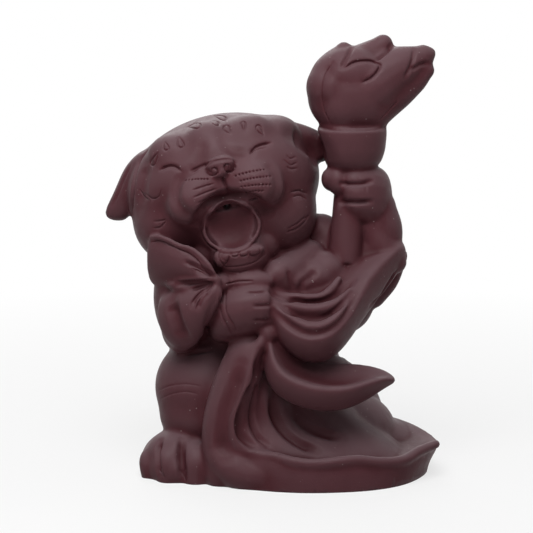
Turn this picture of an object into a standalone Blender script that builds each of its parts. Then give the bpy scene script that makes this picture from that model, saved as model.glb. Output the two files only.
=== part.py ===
"""Backflow incense burner: a singing tiger cub in long sleeves, holding a torch up.

One solid casting in purple clay. The masses are pressed together and softened, smaller
forms are added to them, the mouth and the cone's seat are cut, and the lines are scored.
X is to the viewer's right, Y away from the viewer and Z up. The origin is on the floor.
"""

import math

import bmesh
import bpy
import numpy as np
from mathutils import Matrix, Vector
from mathutils.bvhtree import BVHTree
from mathutils.kdtree import KDTree

# Working fineness of the clay, and how far each stage is softened
GRAIN = 0.0009
MASS_BLEND = 0.0040
FORM_BLEND = 0.0015
DETAIL_BLEND = 0.0007
TRIANGLES = 10500

# Head: an ellipsoid that is tipped back and rolled to the viewer's left
HEAD_CENTRE = (-0.0186, -0.0020, 0.1054)
HEAD_HALF_WIDTH = 0.0366
HEAD_HALF_DEPTH = 0.0320
HEAD_HALF_HEIGHT = 0.0266
HEAD_PITCH = math.radians(9)
HEAD_ROLL = math.radians(12.7)

# Mouth: a round hollow under the whisker pads, with a raised rim
MOUTH_UP = -0.0162
MOUTH_OUT = 0.0285
MOUTH_HALF_WIDTH = 0.0096
MOUTH_HALF_HEIGHT = 0.0081
MOUTH_DEPTH = 0.0070
MOUTH_RIM = 0.0010
MOUTH_STAND = -0.0015

# Level seat for the incense cone, let into the back of the crown, and the bore that leads
# the cone's smoke down to the mouth
SEAT_BEHIND = 0.0185
SEAT_RISE = 0.0120
SEAT_RADIUS = 0.0085
BORE_RADIUS = 0.0025

# Torch: the cup's foot stands on the handle, and the cup holds the flame
TORCH_X = 0.0291
TORCH_Y = -0.006
HANDLE_RADIUS = 0.0062
HANDLE_LENGTH = 0.0325
CUP_FOOT = 0.1126
CUP_HEIGHT = 0.0144
CUP_RIM = CUP_FOOT + CUP_HEIGHT
CUP_FOOT_RADIUS = 0.0094
CUP_WAIST_RADIUS = 0.0124
CUP_RIM_RADIUS = 0.0129

# Lines are scored as they are drawn on the front, seen from here
VIEWPOINT = Vector((-0.0024, -0.889, 0.215))

FLOOR_CUT = 0.020

CLAY_COLOUR = (0.078, 0.036, 0.040, 1)
CLAY_ROUGHNESS = 0.62


def frame_of(centre, pitch, roll):
    """A frame whose columns run across, back and up, tipped back by pitch and rolled by roll."""
    turn = Matrix.Rotation(-pitch, 4, "X") @ Matrix.Rotation(-roll, 4, "Y")
    return Matrix.Translation(centre) @ turn


HEAD = frame_of(HEAD_CENTRE, HEAD_PITCH, HEAD_ROLL)


def on_head(across, up, out):
    """A point of the head: across and up are seen from the front, out is towards the viewer."""
    return HEAD @ Vector((across, -out, up))


def on_torch(across, up, back):
    """A point beside the torch: up is from the foot of its cup."""
    return Vector((TORCH_X + across, TORCH_Y + back, CUP_FOOT + up))


def in_flame(across, up, back):
    """A point of the flame: up is from the rim of the cup."""
    return on_torch(across, CUP_HEIGHT + up, back)


def add(clay, shape):
    """Adds a shape to the clay, and frees it."""
    mesh = bpy.data.meshes.new("shape")
    shape.to_mesh(mesh)
    shape.free()
    clay.from_mesh(mesh)
    bpy.data.meshes.remove(mesh)


def ball(clay, centre, radii, turn=None):
    """Presses an ellipsoid into the clay."""
    turn = turn.to_4x4() if turn else Matrix.Identity(4)
    matrix = Matrix.Translation(centre) @ turn @ Matrix.Diagonal((*radii, 1))
    shape = bmesh.new()
    bmesh.ops.create_uvsphere(shape, u_segments=32, v_segments=18, radius=1, matrix=matrix)
    add(clay, shape)


def head_ball(clay, across, up, out, radii, roll=0.0):
    """An ellipsoid in the head's own frame; radii run across, out and up."""
    turn = HEAD.to_3x3() @ Matrix.Rotation(math.radians(-roll), 3, "Y")
    ball(clay, on_head(across, up, out), radii, turn)


def placed(name, data, collection=None):
    obj = bpy.data.objects.new(name, data)
    (collection or bpy.context.scene.collection).objects.link(obj)
    return obj


def collection_of(name):
    collection = bpy.data.collections.new(name)
    bpy.context.scene.collection.children.link(collection)
    return collection


def fired_clay():
    material = bpy.data.materials.new("purple clay")
    material.use_nodes = True
    shader = material.node_tree.nodes["Principled BSDF"]
    shader.inputs["Base Color"].default_value = CLAY_COLOUR
    shader.inputs["Roughness"].default_value = CLAY_ROUGHNESS
    shader.inputs["Metallic"].default_value = 0
    return material


def evaluated(obj):
    """Replaces an object by the mesh that its modifiers give."""
    graph = bpy.context.evaluated_depsgraph_get()
    mesh = bpy.data.meshes.new_from_object(obj.evaluated_get(graph))
    mesh.transform(obj.matrix_world)
    bpy.data.objects.remove(obj)
    return mesh


def take(clay, obj):
    mesh = evaluated(obj)
    clay.from_mesh(mesh)
    bpy.data.meshes.remove(mesh)


def coil(clay, points, radii):
    """Rolls a tapering coil of clay through the points, with round ends."""
    curve = bpy.data.curves.new("coil", "CURVE")
    curve.dimensions = "3D"
    curve.bevel_depth = 1.0
    curve.bevel_resolution = 6
    curve.use_fill_caps = True
    curve.resolution_u = 8
    spline = curve.splines.new("BEZIER")
    spline.bezier_points.add(len(points) - 1)
    for knot, point, radius in zip(spline.bezier_points, points, radii):
        knot.co = point
        knot.radius = radius
        knot.handle_left_type = knot.handle_right_type = "AUTO"
    take(clay, placed("coil", curve))
    for end in (0, -1):
        ball(clay, points[end], [radii[end]] * 3)


def cage(clay, rings, levels=2):
    """Rounds a coarse cage of equal rings of points, whose first and last rings are capped."""
    shape = bmesh.new()
    grid = [[shape.verts.new(point) for point in ring] for ring in rings]
    count = len(grid[0])
    for lower, upper in zip(grid, grid[1:]):
        for i in range(count):
            j = (i + 1) % count
            shape.faces.new((lower[i], lower[j], upper[j], upper[i]))
    shape.faces.new(grid[0][::-1])
    shape.faces.new(grid[-1])
    bmesh.ops.recalc_face_normals(shape, faces=shape.faces)
    mesh = bpy.data.meshes.new("cage")
    shape.to_mesh(mesh)
    shape.free()
    obj = placed("cage", mesh)
    smooth = obj.modifiers.new("rounded", "SUBSURF")
    smooth.levels = smooth.render_levels = levels
    take(clay, obj)


def cloth(clay, rows, thickness):
    """A sheet of cloth over a coarse net of points, with its thickness on both sides."""
    shape = bmesh.new()
    grid = [[shape.verts.new(point) for point in row] for row in rows]
    for lower, upper in zip(grid, grid[1:]):
        for i in range(len(lower) - 1):
            shape.faces.new((lower[i], lower[i + 1], upper[i + 1], upper[i]))
    bmesh.ops.recalc_face_normals(shape, faces=shape.faces)
    mesh = bpy.data.meshes.new("cloth")
    shape.to_mesh(mesh)
    shape.free()
    obj = placed("cloth", mesh)
    solid = obj.modifiers.new("thickness", "SOLIDIFY")
    solid.thickness = thickness
    solid.offset = 0
    smooth = obj.modifiers.new("rounded", "SUBSURF")
    smooth.levels = smooth.render_levels = 2
    take(clay, obj)


def turned(clay, profile, x, y):
    """Turns a profile of (radius, height) pairs about an upright axis."""
    mesh = bpy.data.meshes.new("turned")
    edges = [(i, i + 1) for i in range(len(profile) - 1)]
    mesh.from_pydata([(radius, 0, height) for radius, height in profile], edges, [])
    obj = placed("turned", mesh)
    obj.matrix_world = Matrix.Translation((x, y, 0))
    screw = obj.modifiers.new("turn", "SCREW")
    screw.steps = screw.render_steps = 48
    screw.use_merge_vertices = True
    screw.merge_threshold = 0.0001
    take(clay, obj)


def trough(clay, sections):
    """A scoop of draped cloth. Each section names its front rim, its floor, its back rim and
    its underside; the walls between them are bowed."""
    rings = []
    for front, floor, back, under in sections:
        front, floor, back, under = map(Vector, (front, floor, back, under))
        middle = (front + floor + back + under) / 4

        def bowed(a, b, amount):
            return (a + b) / 2 + ((a + b) / 2 - middle) * amount

        rings.append([front, bowed(front, floor, -0.10), floor, bowed(floor, back, -0.10),
                      back, bowed(back, under, 0.35), under, bowed(under, front, 0.35)])
    cage(clay, rings)


def fused(clay, name, blend):
    """Fuses what overlaps in the clay into one skin, softened over the blend distance."""
    mesh = bpy.data.meshes.new(name)
    clay.to_mesh(mesh)
    clay.free()
    obj = placed(name, mesh)
    skin = obj.modifiers.new("one skin", "REMESH")
    skin.mode = "VOXEL"
    skin.voxel_size = GRAIN
    soft = obj.modifiers.new("soft", "SMOOTH")
    soft.factor = 0.5
    soft.iterations = max(1, round(2 * (blend / GRAIN) ** 2))
    return evaluated(obj)


def clay_of(mesh):
    clay = bmesh.new()
    clay.from_mesh(mesh)
    bpy.data.meshes.remove(mesh)
    return clay


def body(clay):
    """Rump, haunch, back and raised shoulder."""
    ball(clay, (0.0066, 0.0150, 0.0122), (0.0365, 0.0290, 0.0290))
    ball(clay, (-0.0258, -0.0100, 0.0308), (0.0185, 0.0200, 0.0185))
    ball(clay, (-0.0262, -0.0120, 0.0220), (0.0165, 0.0180, 0.0160))
    ball(clay, (-0.0243, -0.0080, 0.0372), (0.0160, 0.0180, 0.0150))
    ball(clay, (-0.0125, 0.0020, 0.0236), (0.0270, 0.0280, 0.0250))
    ball(clay, (-0.0042, 0.0080, 0.0340), (0.0300, 0.0250, 0.0290))
    ball(clay, (-0.0140, 0.0030, 0.0516), (0.0260, 0.0240, 0.0400))
    ball(clay, (0.0064, 0.0030, 0.0592), (0.0230, 0.0200, 0.0260))
    ball(clay, (0.0225, -0.0010, 0.0618), (0.0120, 0.0120, 0.0135))


def tail(clay):
    """The tail, which curls up over the rump behind."""
    coil(clay, [(0.002, 0.0405, 0.008), (0.013, 0.0395, 0.0155), (0.018, 0.0370, 0.0265),
                (0.010, 0.0355, 0.0365), (-0.001, 0.0335, 0.0410), (-0.008, 0.0300, 0.0480)],
         [0.0054, 0.0054, 0.0052, 0.0048, 0.0044, 0.0036])


def head(clay):
    """Skull with low cheeks, forehead mounds, bridge of the nose and whisker pads."""
    head_ball(clay, 0, 0, 0, (HEAD_HALF_WIDTH, HEAD_HALF_DEPTH, HEAD_HALF_HEIGHT))
    head_ball(clay, -0.0200, -0.0090, 0.005, (0.0160, 0.0190, 0.0165))
    head_ball(clay, 0.0160, -0.0130, 0.005, (0.0165, 0.0190, 0.0175))
    head_ball(clay, 0, -0.0180, 0.009, (0.0165, 0.0190, 0.0140))
    head_ball(clay, 0.0200, 0.0135, 0.000, (0.0125, 0.0190, 0.0085))
    head_ball(clay, -0.0125, 0.0120, 0.0145, (0.0130, 0.0105, 0.0100), roll=-25)
    head_ball(clay, 0.0105, 0.0125, 0.0145, (0.0130, 0.0105, 0.0100), roll=25)
    head_ball(clay, 0.0000, 0.0085, 0.0220, (0.0100, 0.0085, 0.0100))
    head_ball(clay, -0.0020, 0.0130, 0.0175, (0.0095, 0.0100, 0.0110))
    head_ball(clay, -0.0085, -0.0012, 0.0255, (0.0118, 0.0092, 0.0084), roll=10)
    head_ball(clay, 0.0107, -0.0012, 0.0255, (0.0116, 0.0092, 0.0084), roll=-12)


def masses():
    clay = bmesh.new()
    body(clay)
    head(clay)
    return fused(clay, "masses", MASS_BLEND)


def ears(clay):
    """Two folded ears: the near one droops, the far one points out behind the torch."""
    cage(clay, [
        [(-0.0446, -0.0100, 0.1194), (-0.0469, -0.0080, 0.1206), (-0.0475, 0.0040, 0.1190),
         (-0.0462, 0.0080, 0.1178)],
        [(-0.0495, -0.0090, 0.1137), (-0.0548, -0.0060, 0.1141), (-0.0558, 0.0040, 0.1130),
         (-0.0508, 0.0100, 0.1115)],
        [(-0.0514, -0.0090, 0.1044), (-0.0586, -0.0050, 0.1043), (-0.0595, 0.0030, 0.1029),
         (-0.0524, 0.0100, 0.1013)],
        [(-0.0522, -0.0080, 0.0980), (-0.0621, -0.0040, 0.0982), (-0.0628, 0.0010, 0.0975),
         (-0.0539, 0.0080, 0.0955)],
        [(-0.0523, -0.0070, 0.0915), (-0.0645, -0.0030, 0.0924), (-0.0648, 0.0010, 0.0915),
         (-0.0538, 0.0060, 0.0896)],
    ])
    cage(clay, [
        [(0.0018, -0.0030, 0.1313), (0.0048, -0.0070, 0.1131), (0.0049, 0.0100, 0.1111),
         (0.0019, 0.0120, 0.1298)],
        [(0.0107, -0.0030, 0.1294), (0.0118, -0.0050, 0.1118), (0.0121, 0.0090, 0.1101),
         (0.0109, 0.0120, 0.1280)],
        [(0.0178, -0.0010, 0.1259), (0.0182, -0.0020, 0.1133), (0.0184, 0.0080, 0.1121),
         (0.0181, 0.0110, 0.1247)],
        [(0.0242, 0.0020, 0.1211), (0.0242, 0.0020, 0.1151), (0.0244, 0.0080, 0.1144),
         (0.0244, 0.0090, 0.1203)],
    ])


def foot(clay):
    """The foot that stands at the viewer's left, with its toes."""
    ball(clay, (-0.0347, -0.0160, 0.0039), (0.0146, 0.0215, 0.0112))
    ball(clay, (-0.0348, -0.0220, 0.0080), (0.0122, 0.0130, 0.0092))
    coil(clay, [(-0.0442, -0.0190, 0.0069), (-0.0458, -0.0250, 0.0057),
                (-0.0451, -0.0260, 0.0002)], [0.0034, 0.0038, 0.0036])
    coil(clay, [(-0.0381, -0.0240, 0.0100), (-0.0385, -0.0310, 0.0075),
                (-0.0382, -0.0320, 0.0013)], [0.0042, 0.0050, 0.0046])
    coil(clay, [(-0.0288, -0.0260, 0.0108), (-0.0282, -0.0330, 0.0080),
                (-0.0282, -0.0340, 0.0015)], [0.0044, 0.0052, 0.0050])


def cuff(clay):
    """The wide cuff of the low arm, gathered at the wrist into two lobes."""
    cloth(clay, [
        [(-0.0177, -0.0380, 0.0751), (-0.0227, -0.0370, 0.0794), (-0.0271, -0.0340, 0.0847),
         (-0.0330, -0.0310, 0.0872), (-0.0396, -0.0270, 0.0895),
         (-0.0457, -0.0220, 0.0899)],
        [(-0.0181, -0.0390, 0.0746), (-0.0238, -0.0380, 0.0788), (-0.0289, -0.0360, 0.0817),
         (-0.0344, -0.0330, 0.0831), (-0.0400, -0.0290, 0.0836),
         (-0.0461, -0.0220, 0.0832)],
        [(-0.0181, -0.0390, 0.0742), (-0.0246, -0.0370, 0.0761), (-0.0300, -0.0350, 0.0772),
         (-0.0356, -0.0310, 0.0773), (-0.0404, -0.0270, 0.0774),
         (-0.0463, -0.0200, 0.0763)],
        [(-0.0177, -0.0370, 0.0735), (-0.0250, -0.0330, 0.0729), (-0.0302, -0.0290, 0.0715),
         (-0.0351, -0.0250, 0.0704), (-0.0397, -0.0210, 0.0694),
         (-0.0450, -0.0160, 0.0704)],
    ], 0.0044)
    cloth(clay, [
        [(-0.0181, -0.0370, 0.0735), (-0.0246, -0.0340, 0.0723), (-0.0302, -0.0310, 0.0711),
         (-0.0350, -0.0270, 0.0696), (-0.0396, -0.0220, 0.0681)],
        [(-0.0184, -0.0390, 0.0735), (-0.0253, -0.0380, 0.0704), (-0.0311, -0.0360, 0.0682),
         (-0.0370, -0.0320, 0.0661), (-0.0425, -0.0240, 0.0628)],
        [(-0.0184, -0.0400, 0.0733), (-0.0242, -0.0400, 0.0678), (-0.0300, -0.0380, 0.0642),
         (-0.0359, -0.0340, 0.0605), (-0.0421, -0.0250, 0.0567)],
        [(-0.0184, -0.0400, 0.0729), (-0.0227, -0.0400, 0.0664), (-0.0267, -0.0390, 0.0604),
         (-0.0316, -0.0350, 0.0545), (-0.0392, -0.0270, 0.0504)],
        [(-0.0177, -0.0380, 0.0722), (-0.0210, -0.0370, 0.0658), (-0.0236, -0.0350, 0.0596),
         (-0.0259, -0.0310, 0.0522), (-0.0319, -0.0250, 0.0459)],
    ], 0.0046)
    ball(clay, (-0.0318, -0.0140, 0.0656), (0.0125, 0.0150, 0.0200))
    ball(clay, (-0.0365, -0.0160, 0.0786), (0.0092, 0.0110, 0.0080))
    ball(clay, (-0.0336, -0.0180, 0.0550), (0.0078, 0.0130, 0.0100))
    ball(clay, (-0.0249, -0.0260, 0.0661), (0.0080, 0.0110, 0.0090))
    ball(clay, (-0.0185, -0.0320, 0.0734), (0.0040, 0.0060, 0.0035))
    ball(clay, (-0.0292, -0.0270, 0.0722), (0.0100, 0.0085, 0.0028))


def low_paw(clay):
    """The low arm's paw, which holds the gathered cloth against the chest."""
    cage(clay, [
        [(-0.0243, -0.0340, 0.0683), (-0.0244, -0.0330, 0.0519), (-0.0249, -0.0120, 0.0479),
         (-0.0249, -0.0120, 0.0645)],
        [(-0.0176, -0.0430, 0.0752), (-0.0177, -0.0420, 0.0518), (-0.0183, -0.0100, 0.0456),
         (-0.0182, -0.0100, 0.0698)],
        [(-0.0083, -0.0450, 0.0774), (-0.0083, -0.0440, 0.0540), (-0.0086, -0.0100, 0.0475),
         (-0.0086, -0.0100, 0.0717)],
        [(-0.0019, -0.0430, 0.0767), (-0.0019, -0.0420, 0.0543), (-0.0019, -0.0100, 0.0483),
         (-0.0019, -0.0100, 0.0713)],
        [(-0.0001, -0.0410, 0.0756), (-0.0001, -0.0400, 0.0547), (-0.0000, -0.0120, 0.0494),
         (-0.0000, -0.0120, 0.0709)],
    ])


def raised_sleeve(clay):
    """The wide sleeve of the raised arm, which hangs as a deep scoop."""
    trough(clay, [
        ((-0.0026, -0.0340, 0.0712), (-0.0019, -0.0310, 0.0722), (-0.0012, -0.0260, 0.0735),
        (-0.0026, -0.0290, 0.0659)),
        ((-0.0008, -0.0390, 0.0662), (0.0010, -0.0340, 0.0683), (0.0032, -0.0230, 0.0727),
        (-0.0019, -0.0310, 0.0567)),
        ((0.0028, -0.0430, 0.0611), (0.0050, -0.0360, 0.0653), (0.0091, -0.0210, 0.0738),
        (0.0021, -0.0320, 0.0502)),
        ((0.0081, -0.0460, 0.0573), (0.0100, -0.0380, 0.0624), (0.0131, -0.0200, 0.0752),
        (0.0083, -0.0320, 0.0439)),
        ((0.0138, -0.0470, 0.0560), (0.0147, -0.0380, 0.0613), (0.0172, -0.0180, 0.0767),
        (0.0156, -0.0300, 0.0409)),
        ((0.0195, -0.0460, 0.0569), (0.0197, -0.0380, 0.0624), (0.0220, -0.0160, 0.0786),
        (0.0230, -0.0280, 0.0435)),
        ((0.0243, -0.0420, 0.0598), (0.0241, -0.0340, 0.0653), (0.0269, -0.0140, 0.0805),
        (0.0292, -0.0250, 0.0507)),
        ((0.0280, -0.0380, 0.0646), (0.0279, -0.0300, 0.0698), (0.0317, -0.0120, 0.0828),
        (0.0341, -0.0210, 0.0578)),
        ((0.0317, -0.0330, 0.0707), (0.0320, -0.0250, 0.0756), (0.0363, -0.0090, 0.0846),
        (0.0395, -0.0150, 0.0631)),
        ((0.0378, -0.0250, 0.0774), (0.0381, -0.0190, 0.0809), (0.0420, -0.0060, 0.0861),
        (0.0456, -0.0100, 0.0694)),
        ((0.0448, -0.0170, 0.0829), (0.0446, -0.0130, 0.0841), (0.0458, -0.0050, 0.0867),
        (0.0495, -0.0070, 0.0765)),
        ((0.0484, -0.0120, 0.0847), (0.0481, -0.0100, 0.0852), (0.0479, -0.0070, 0.0858),
        (0.0505, -0.0070, 0.0810)),
    ])
    coil(clay, [(0.0471, -0.0020, 0.0787), (0.0423, -0.0020, 0.0696),
                (0.0371, -0.0030, 0.0641)], [0.0034, 0.0048, 0.0052])
    coil(clay, [(-0.0033, -0.0290, 0.0744), (0.0010, -0.0270, 0.0755), (0.0069, -0.0200, 0.0766),
                (0.0129, -0.0120, 0.0802)],
         [0.0026, 0.0055, 0.0066, 0.0062])
    ball(clay, (0.0069, -0.0200, 0.0726), (0.0100, 0.0095, 0.0065))
    ball(clay, (0.0143, -0.0170, 0.0732), (0.0100, 0.0095, 0.0078))
    ball(clay, (0.0188, -0.0150, 0.0747), (0.0085, 0.0085, 0.0080))
    ball(clay, (0.0228, -0.0030, 0.0804), (0.0130, 0.0090, 0.0120))
    ball(clay, (0.0169, 0.0000, 0.0807), (0.0100, 0.0085, 0.0100))


def raised_arm(clay):
    """Forearm behind the torch's handle."""
    coil(clay, [(0.0252, 0.0000, 0.0617), (0.0340, -0.0040, 0.0760), on_torch(0.0103, -0.0259, 0.0010),
                on_torch(0.0087, -0.0154, 0.0010)], [0.0130, 0.0110, 0.0090, 0.0080])
    coil(clay, [on_torch(0.0075, -0.0218, -0.0020), (0.0411, -0.0090, 0.0820),
                (0.0453, -0.0080, 0.0774)], [0.0060, 0.0062, 0.0045])


def train(clay):
    """The dish of the robe's hem, which spreads over the floor."""
    rim = [(-0.0197, -0.0380, 0.0129), (-0.0127, -0.0430, 0.0148), (-0.0041, -0.0460, 0.0130),
           (0.0049, -0.0480, 0.0116), (0.0146, -0.0500, 0.0114),
           (0.0243, -0.0490, 0.0122), (0.0341, -0.0460, 0.0119), (0.0444, -0.0420, 0.0105),
           (0.0521, -0.0350, 0.0118), (0.0588, -0.0270, 0.0129),
           (0.0643, -0.0170, 0.0125), (0.0592, -0.0040, 0.0141), (0.0520, 0.0080, 0.0157),
           (0.0434, 0.0200, 0.0150), (0.0264, 0.0320, 0.0144),
           (0.0068, 0.0360, 0.0135), (-0.0128, 0.0300, 0.0108), (-0.0249, 0.0120, 0.0089),
           (-0.0250, -0.0140, 0.0091)]
    foot = [(-0.0212, -0.0370, 0.0003), (-0.0142, -0.0430, 0.0004), (-0.0055, -0.0470, 0.0003),
            (0.0038, -0.0500, 0.0007), (0.0139, -0.0510, 0.0009),
            (0.0240, -0.0500, 0.0010), (0.0341, -0.0480, 0.0009), (0.0430, -0.0430, 0.0011),
            (0.0491, -0.0370, 0.0018), (0.0541, -0.0280, 0.0022),
            (0.0586, -0.0160, 0.0027), (0.0555, 0.0000, 0.0015), (0.0497, 0.0120, 0.0002),
            (0.0426, 0.0240, -0.0010), (0.0265, 0.0340, -0.0002),
            (0.0069, 0.0380, -0.0011), (-0.0129, 0.0320, -0.0037), (-0.0258, 0.0140, -0.0034),
            (-0.0262, -0.0140, -0.0020)]
    heart = Vector((0.0139, -0.0100, 0.0147))
    rim = [Vector(point) for point in rim]
    foot = [Vector(point) for point in foot]
    below = [point - Vector((0, 0, 0.012)) for point in foot]
    wall = [a.lerp(b, 0.5) + (b - heart).normalized() * 0.0008 for a, b in zip(rim, foot)]
    inner = [point.lerp(heart, 0.09) - Vector((0, 0, 0.0035)) for point in rim]
    slope = [point.lerp(heart, 0.35) - Vector((0, 0, 0.0040)) for point in rim]
    middle = [point.lerp(heart, 0.80) for point in rim]
    cage(clay, [below, foot, wall, rim, inner, slope, middle])


def train_folds(clay):
    """Cloth that falls from the low paw, and fans out into the dish in deep folds."""
    ridges = [
        [(-0.0161, -0.0290, 0.0496), (-0.0179, -0.0320, 0.0398), (-0.0212, -0.0330, 0.0296),
         (-0.0238, -0.0330, 0.0199), (-0.0238, -0.0330, 0.0117),
         (-0.0224, -0.0330, -0.0003)],
        [(-0.0116, -0.0370, 0.0527), (-0.0142, -0.0390, 0.0420), (-0.0182, -0.0400, 0.0312),
         (-0.0207, -0.0400, 0.0215), (-0.0200, -0.0400, 0.0126),
         (-0.0172, -0.0390, 0.0005)],
        [(-0.0048, -0.0390, 0.0545), (-0.0084, -0.0420, 0.0434), (-0.0123, -0.0430, 0.0325),
         (-0.0156, -0.0430, 0.0244), (-0.0142, -0.0430, 0.0174),
         (-0.0084, -0.0430, 0.0119)],
        [(-0.0037, -0.0310, 0.0504), (-0.0059, -0.0320, 0.0406), (-0.0084, -0.0340, 0.0321),
         (-0.0099, -0.0360, 0.0251), (-0.0084, -0.0380, 0.0189),
         (-0.0033, -0.0420, 0.0105)],
        [(-0.0026, -0.0280, 0.0487), (-0.0034, -0.0280, 0.0390), (-0.0037, -0.0300, 0.0312),
         (-0.0037, -0.0320, 0.0242), (-0.0012, -0.0350, 0.0182),
         (0.0050, -0.0420, 0.0090)],
        [(-0.0015, -0.0250, 0.0474), (-0.0004, -0.0260, 0.0371), (0.0021, -0.0270, 0.0283),
         (0.0073, -0.0290, 0.0205), (0.0145, -0.0330, 0.0155),
         (0.0227, -0.0420, 0.0083)],
        [(-0.0004, -0.0230, 0.0470), (0.0036, -0.0240, 0.0367), (0.0091, -0.0250, 0.0279),
         (0.0165, -0.0270, 0.0216), (0.0245, -0.0310, 0.0157),
         (0.0329, -0.0400, 0.0078)],
        [(0.0018, -0.0160, 0.0456), (0.0085, -0.0180, 0.0362), (0.0166, -0.0210, 0.0278),
         (0.0254, -0.0230, 0.0214), (0.0334, -0.0270, 0.0148),
         (0.0419, -0.0360, 0.0068)],
        [(0.0041, -0.0090, 0.0435), (0.0145, -0.0110, 0.0336), (0.0250, -0.0130, 0.0249),
         (0.0331, -0.0160, 0.0176), (0.0411, -0.0200, 0.0113),
         (0.0480, -0.0300, 0.0050)],
        [(0.0072, 0.0030, 0.0396), (0.0209, 0.0030, 0.0284), (0.0319, 0.0010, 0.0192),
         (0.0412, -0.0030, 0.0108), (0.0485, -0.0080, 0.0058),
         (0.0556, -0.0160, 0.0008)],
    ]
    valleys = [0, 0, 0.0046, 0.0024, 0.0022, 0.0016, 0.0008, 0, 0]
    columns = [[Vector(point) for point in ridges[0]]]
    for near, far, depth in zip(ridges, ridges[1:], valleys):
        near = [Vector(point) for point in near]
        far = [Vector(point) for point in far]
        back = [0.5, 1, 1, 1, 0.8, 0.3]
        if depth:
            columns.append([a.lerp(b, 0.5) + Vector((0, depth * share, -depth * share * 0.4))
                            for a, b, share in zip(near, far, back)])
        columns.append(far)
    cloth(clay, columns, 0.0056)
    coil(clay, [(-0.0084, -0.0300, 0.0483), (-0.0135, -0.0330, 0.0360), (-0.0179, -0.0350, 0.0215),
                (-0.0187, -0.0360, 0.0042)],
         [0.0080, 0.0085, 0.0080, 0.0070])
    ball(clay, (0.0045, -0.0080, 0.0269), (0.0200, 0.0160, 0.0280))
    ball(clay, (-0.0019, -0.0220, 0.0167), (0.0180, 0.0120, 0.0150))
    ball(clay, (0.0236, 0.0020, 0.0120), (0.0230, 0.0260, 0.0150))
    ball(clay, (0.0378, 0.0040, 0.0068), (0.0170, 0.0220, 0.0090))
    coil(clay, [(-0.0041, -0.0380, 0.0536), (-0.0084, -0.0410, 0.0432), (-0.0120, -0.0420, 0.0323),
                (-0.0153, -0.0420, 0.0246), (-0.0145, -0.0420, 0.0187),
                (-0.0117, -0.0420, 0.0150), (-0.0062, -0.0430, 0.0126), (0.0006, -0.0450, 0.0120),
                (0.0078, -0.0480, 0.0109), (0.0150, -0.0490, 0.0104),
                (0.0222, -0.0490, 0.0111), (0.0298, -0.0470, 0.0114), (0.0385, -0.0440, 0.0099),
                (0.0471, -0.0390, 0.0094), (0.0533, -0.0330, 0.0113),
                (0.0601, -0.0250, 0.0121)],
         [0.0020, 0.0024, 0.0024, 0.0024, 0.0024, 0.0024, 0.0022, 0.0020, 0.0020, 0.0020,
          0.0020, 0.0020, 0.0020, 0.0020, 0.0020, 0.0018])
    coil(clay, [(-0.0041, -0.0310, 0.0478), (-0.0063, -0.0330, 0.0400), (-0.0088, -0.0350, 0.0316),
                (-0.0099, -0.0360, 0.0251), (-0.0084, -0.0370, 0.0186),
                (-0.0048, -0.0370, 0.0134)], [0.0018, 0.0024, 0.0027, 0.0028, 0.0026, 0.0014])
    coil(clay, [(-0.0026, -0.0270, 0.0433), (-0.0034, -0.0290, 0.0370), (-0.0037, -0.0310, 0.0300),
                (-0.0026, -0.0320, 0.0235), (0.0003, -0.0340, 0.0179),
                (0.0054, -0.0350, 0.0129)], [0.0016, 0.0024, 0.0029, 0.0030, 0.0027, 0.0014])
    coil(clay, [(-0.0001, -0.0260, 0.0349), (0.0029, -0.0280, 0.0274), (0.0073, -0.0300, 0.0208),
                (0.0142, -0.0320, 0.0160), (0.0237, -0.0320, 0.0130)],
         [0.0018, 0.0028, 0.0032, 0.0030, 0.0016])
    coil(clay, [(-0.0187, -0.0340, 0.0172), (-0.0172, -0.0370, 0.0104), (-0.0121, -0.0400, 0.0059),
                (-0.0041, -0.0420, 0.0042)],
         [0.0075, 0.0080, 0.0075, 0.0060])


def flap(clay):
    """The leaf-shaped end of the sleeve cloth, a second scoop under the first."""
    trough(clay, [
        ((-0.0015, -0.0380, 0.0558), (-0.0012, -0.0370, 0.0556), (-0.0004, -0.0340, 0.0569),
        (-0.0030, -0.0340, 0.0510)),
        ((-0.0008, -0.0430, 0.0498), (0.0010, -0.0390, 0.0490), (0.0028, -0.0340, 0.0539),
        (-0.0044, -0.0350, 0.0442)),
        ((0.0017, -0.0470, 0.0447), (0.0046, -0.0390, 0.0431), (0.0065, -0.0310, 0.0500),
        (-0.0033, -0.0370, 0.0357)),
        ((0.0074, -0.0500, 0.0413), (0.0108, -0.0380, 0.0392), (0.0124, -0.0280, 0.0465),
        (0.0028, -0.0380, 0.0292)),
        ((0.0166, -0.0510, 0.0390), (0.0187, -0.0380, 0.0366), (0.0201, -0.0260, 0.0461),
        (0.0159, -0.0380, 0.0244)),
        ((0.0263, -0.0490, 0.0382), (0.0274, -0.0370, 0.0368), (0.0285, -0.0250, 0.0455),
        (0.0279, -0.0350, 0.0252)),
        ((0.0340, -0.0440, 0.0397), (0.0348, -0.0350, 0.0386), (0.0362, -0.0260, 0.0438),
        (0.0368, -0.0320, 0.0302)),
        ((0.0401, -0.0380, 0.0400), (0.0407, -0.0330, 0.0397), (0.0417, -0.0270, 0.0411),
        (0.0424, -0.0290, 0.0340)),
        ((0.0447, -0.0330, 0.0382), (0.0448, -0.0310, 0.0381), (0.0449, -0.0290, 0.0381),
        (0.0456, -0.0290, 0.0359)),
    ])
    coil(clay, [(0.0018, -0.0280, 0.0498), (0.0099, -0.0240, 0.0431), (0.0203, -0.0200, 0.0404),
                (0.0249, -0.0140, 0.0392)], [0.0050, 0.0050, 0.0050, 0.0035])


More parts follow.
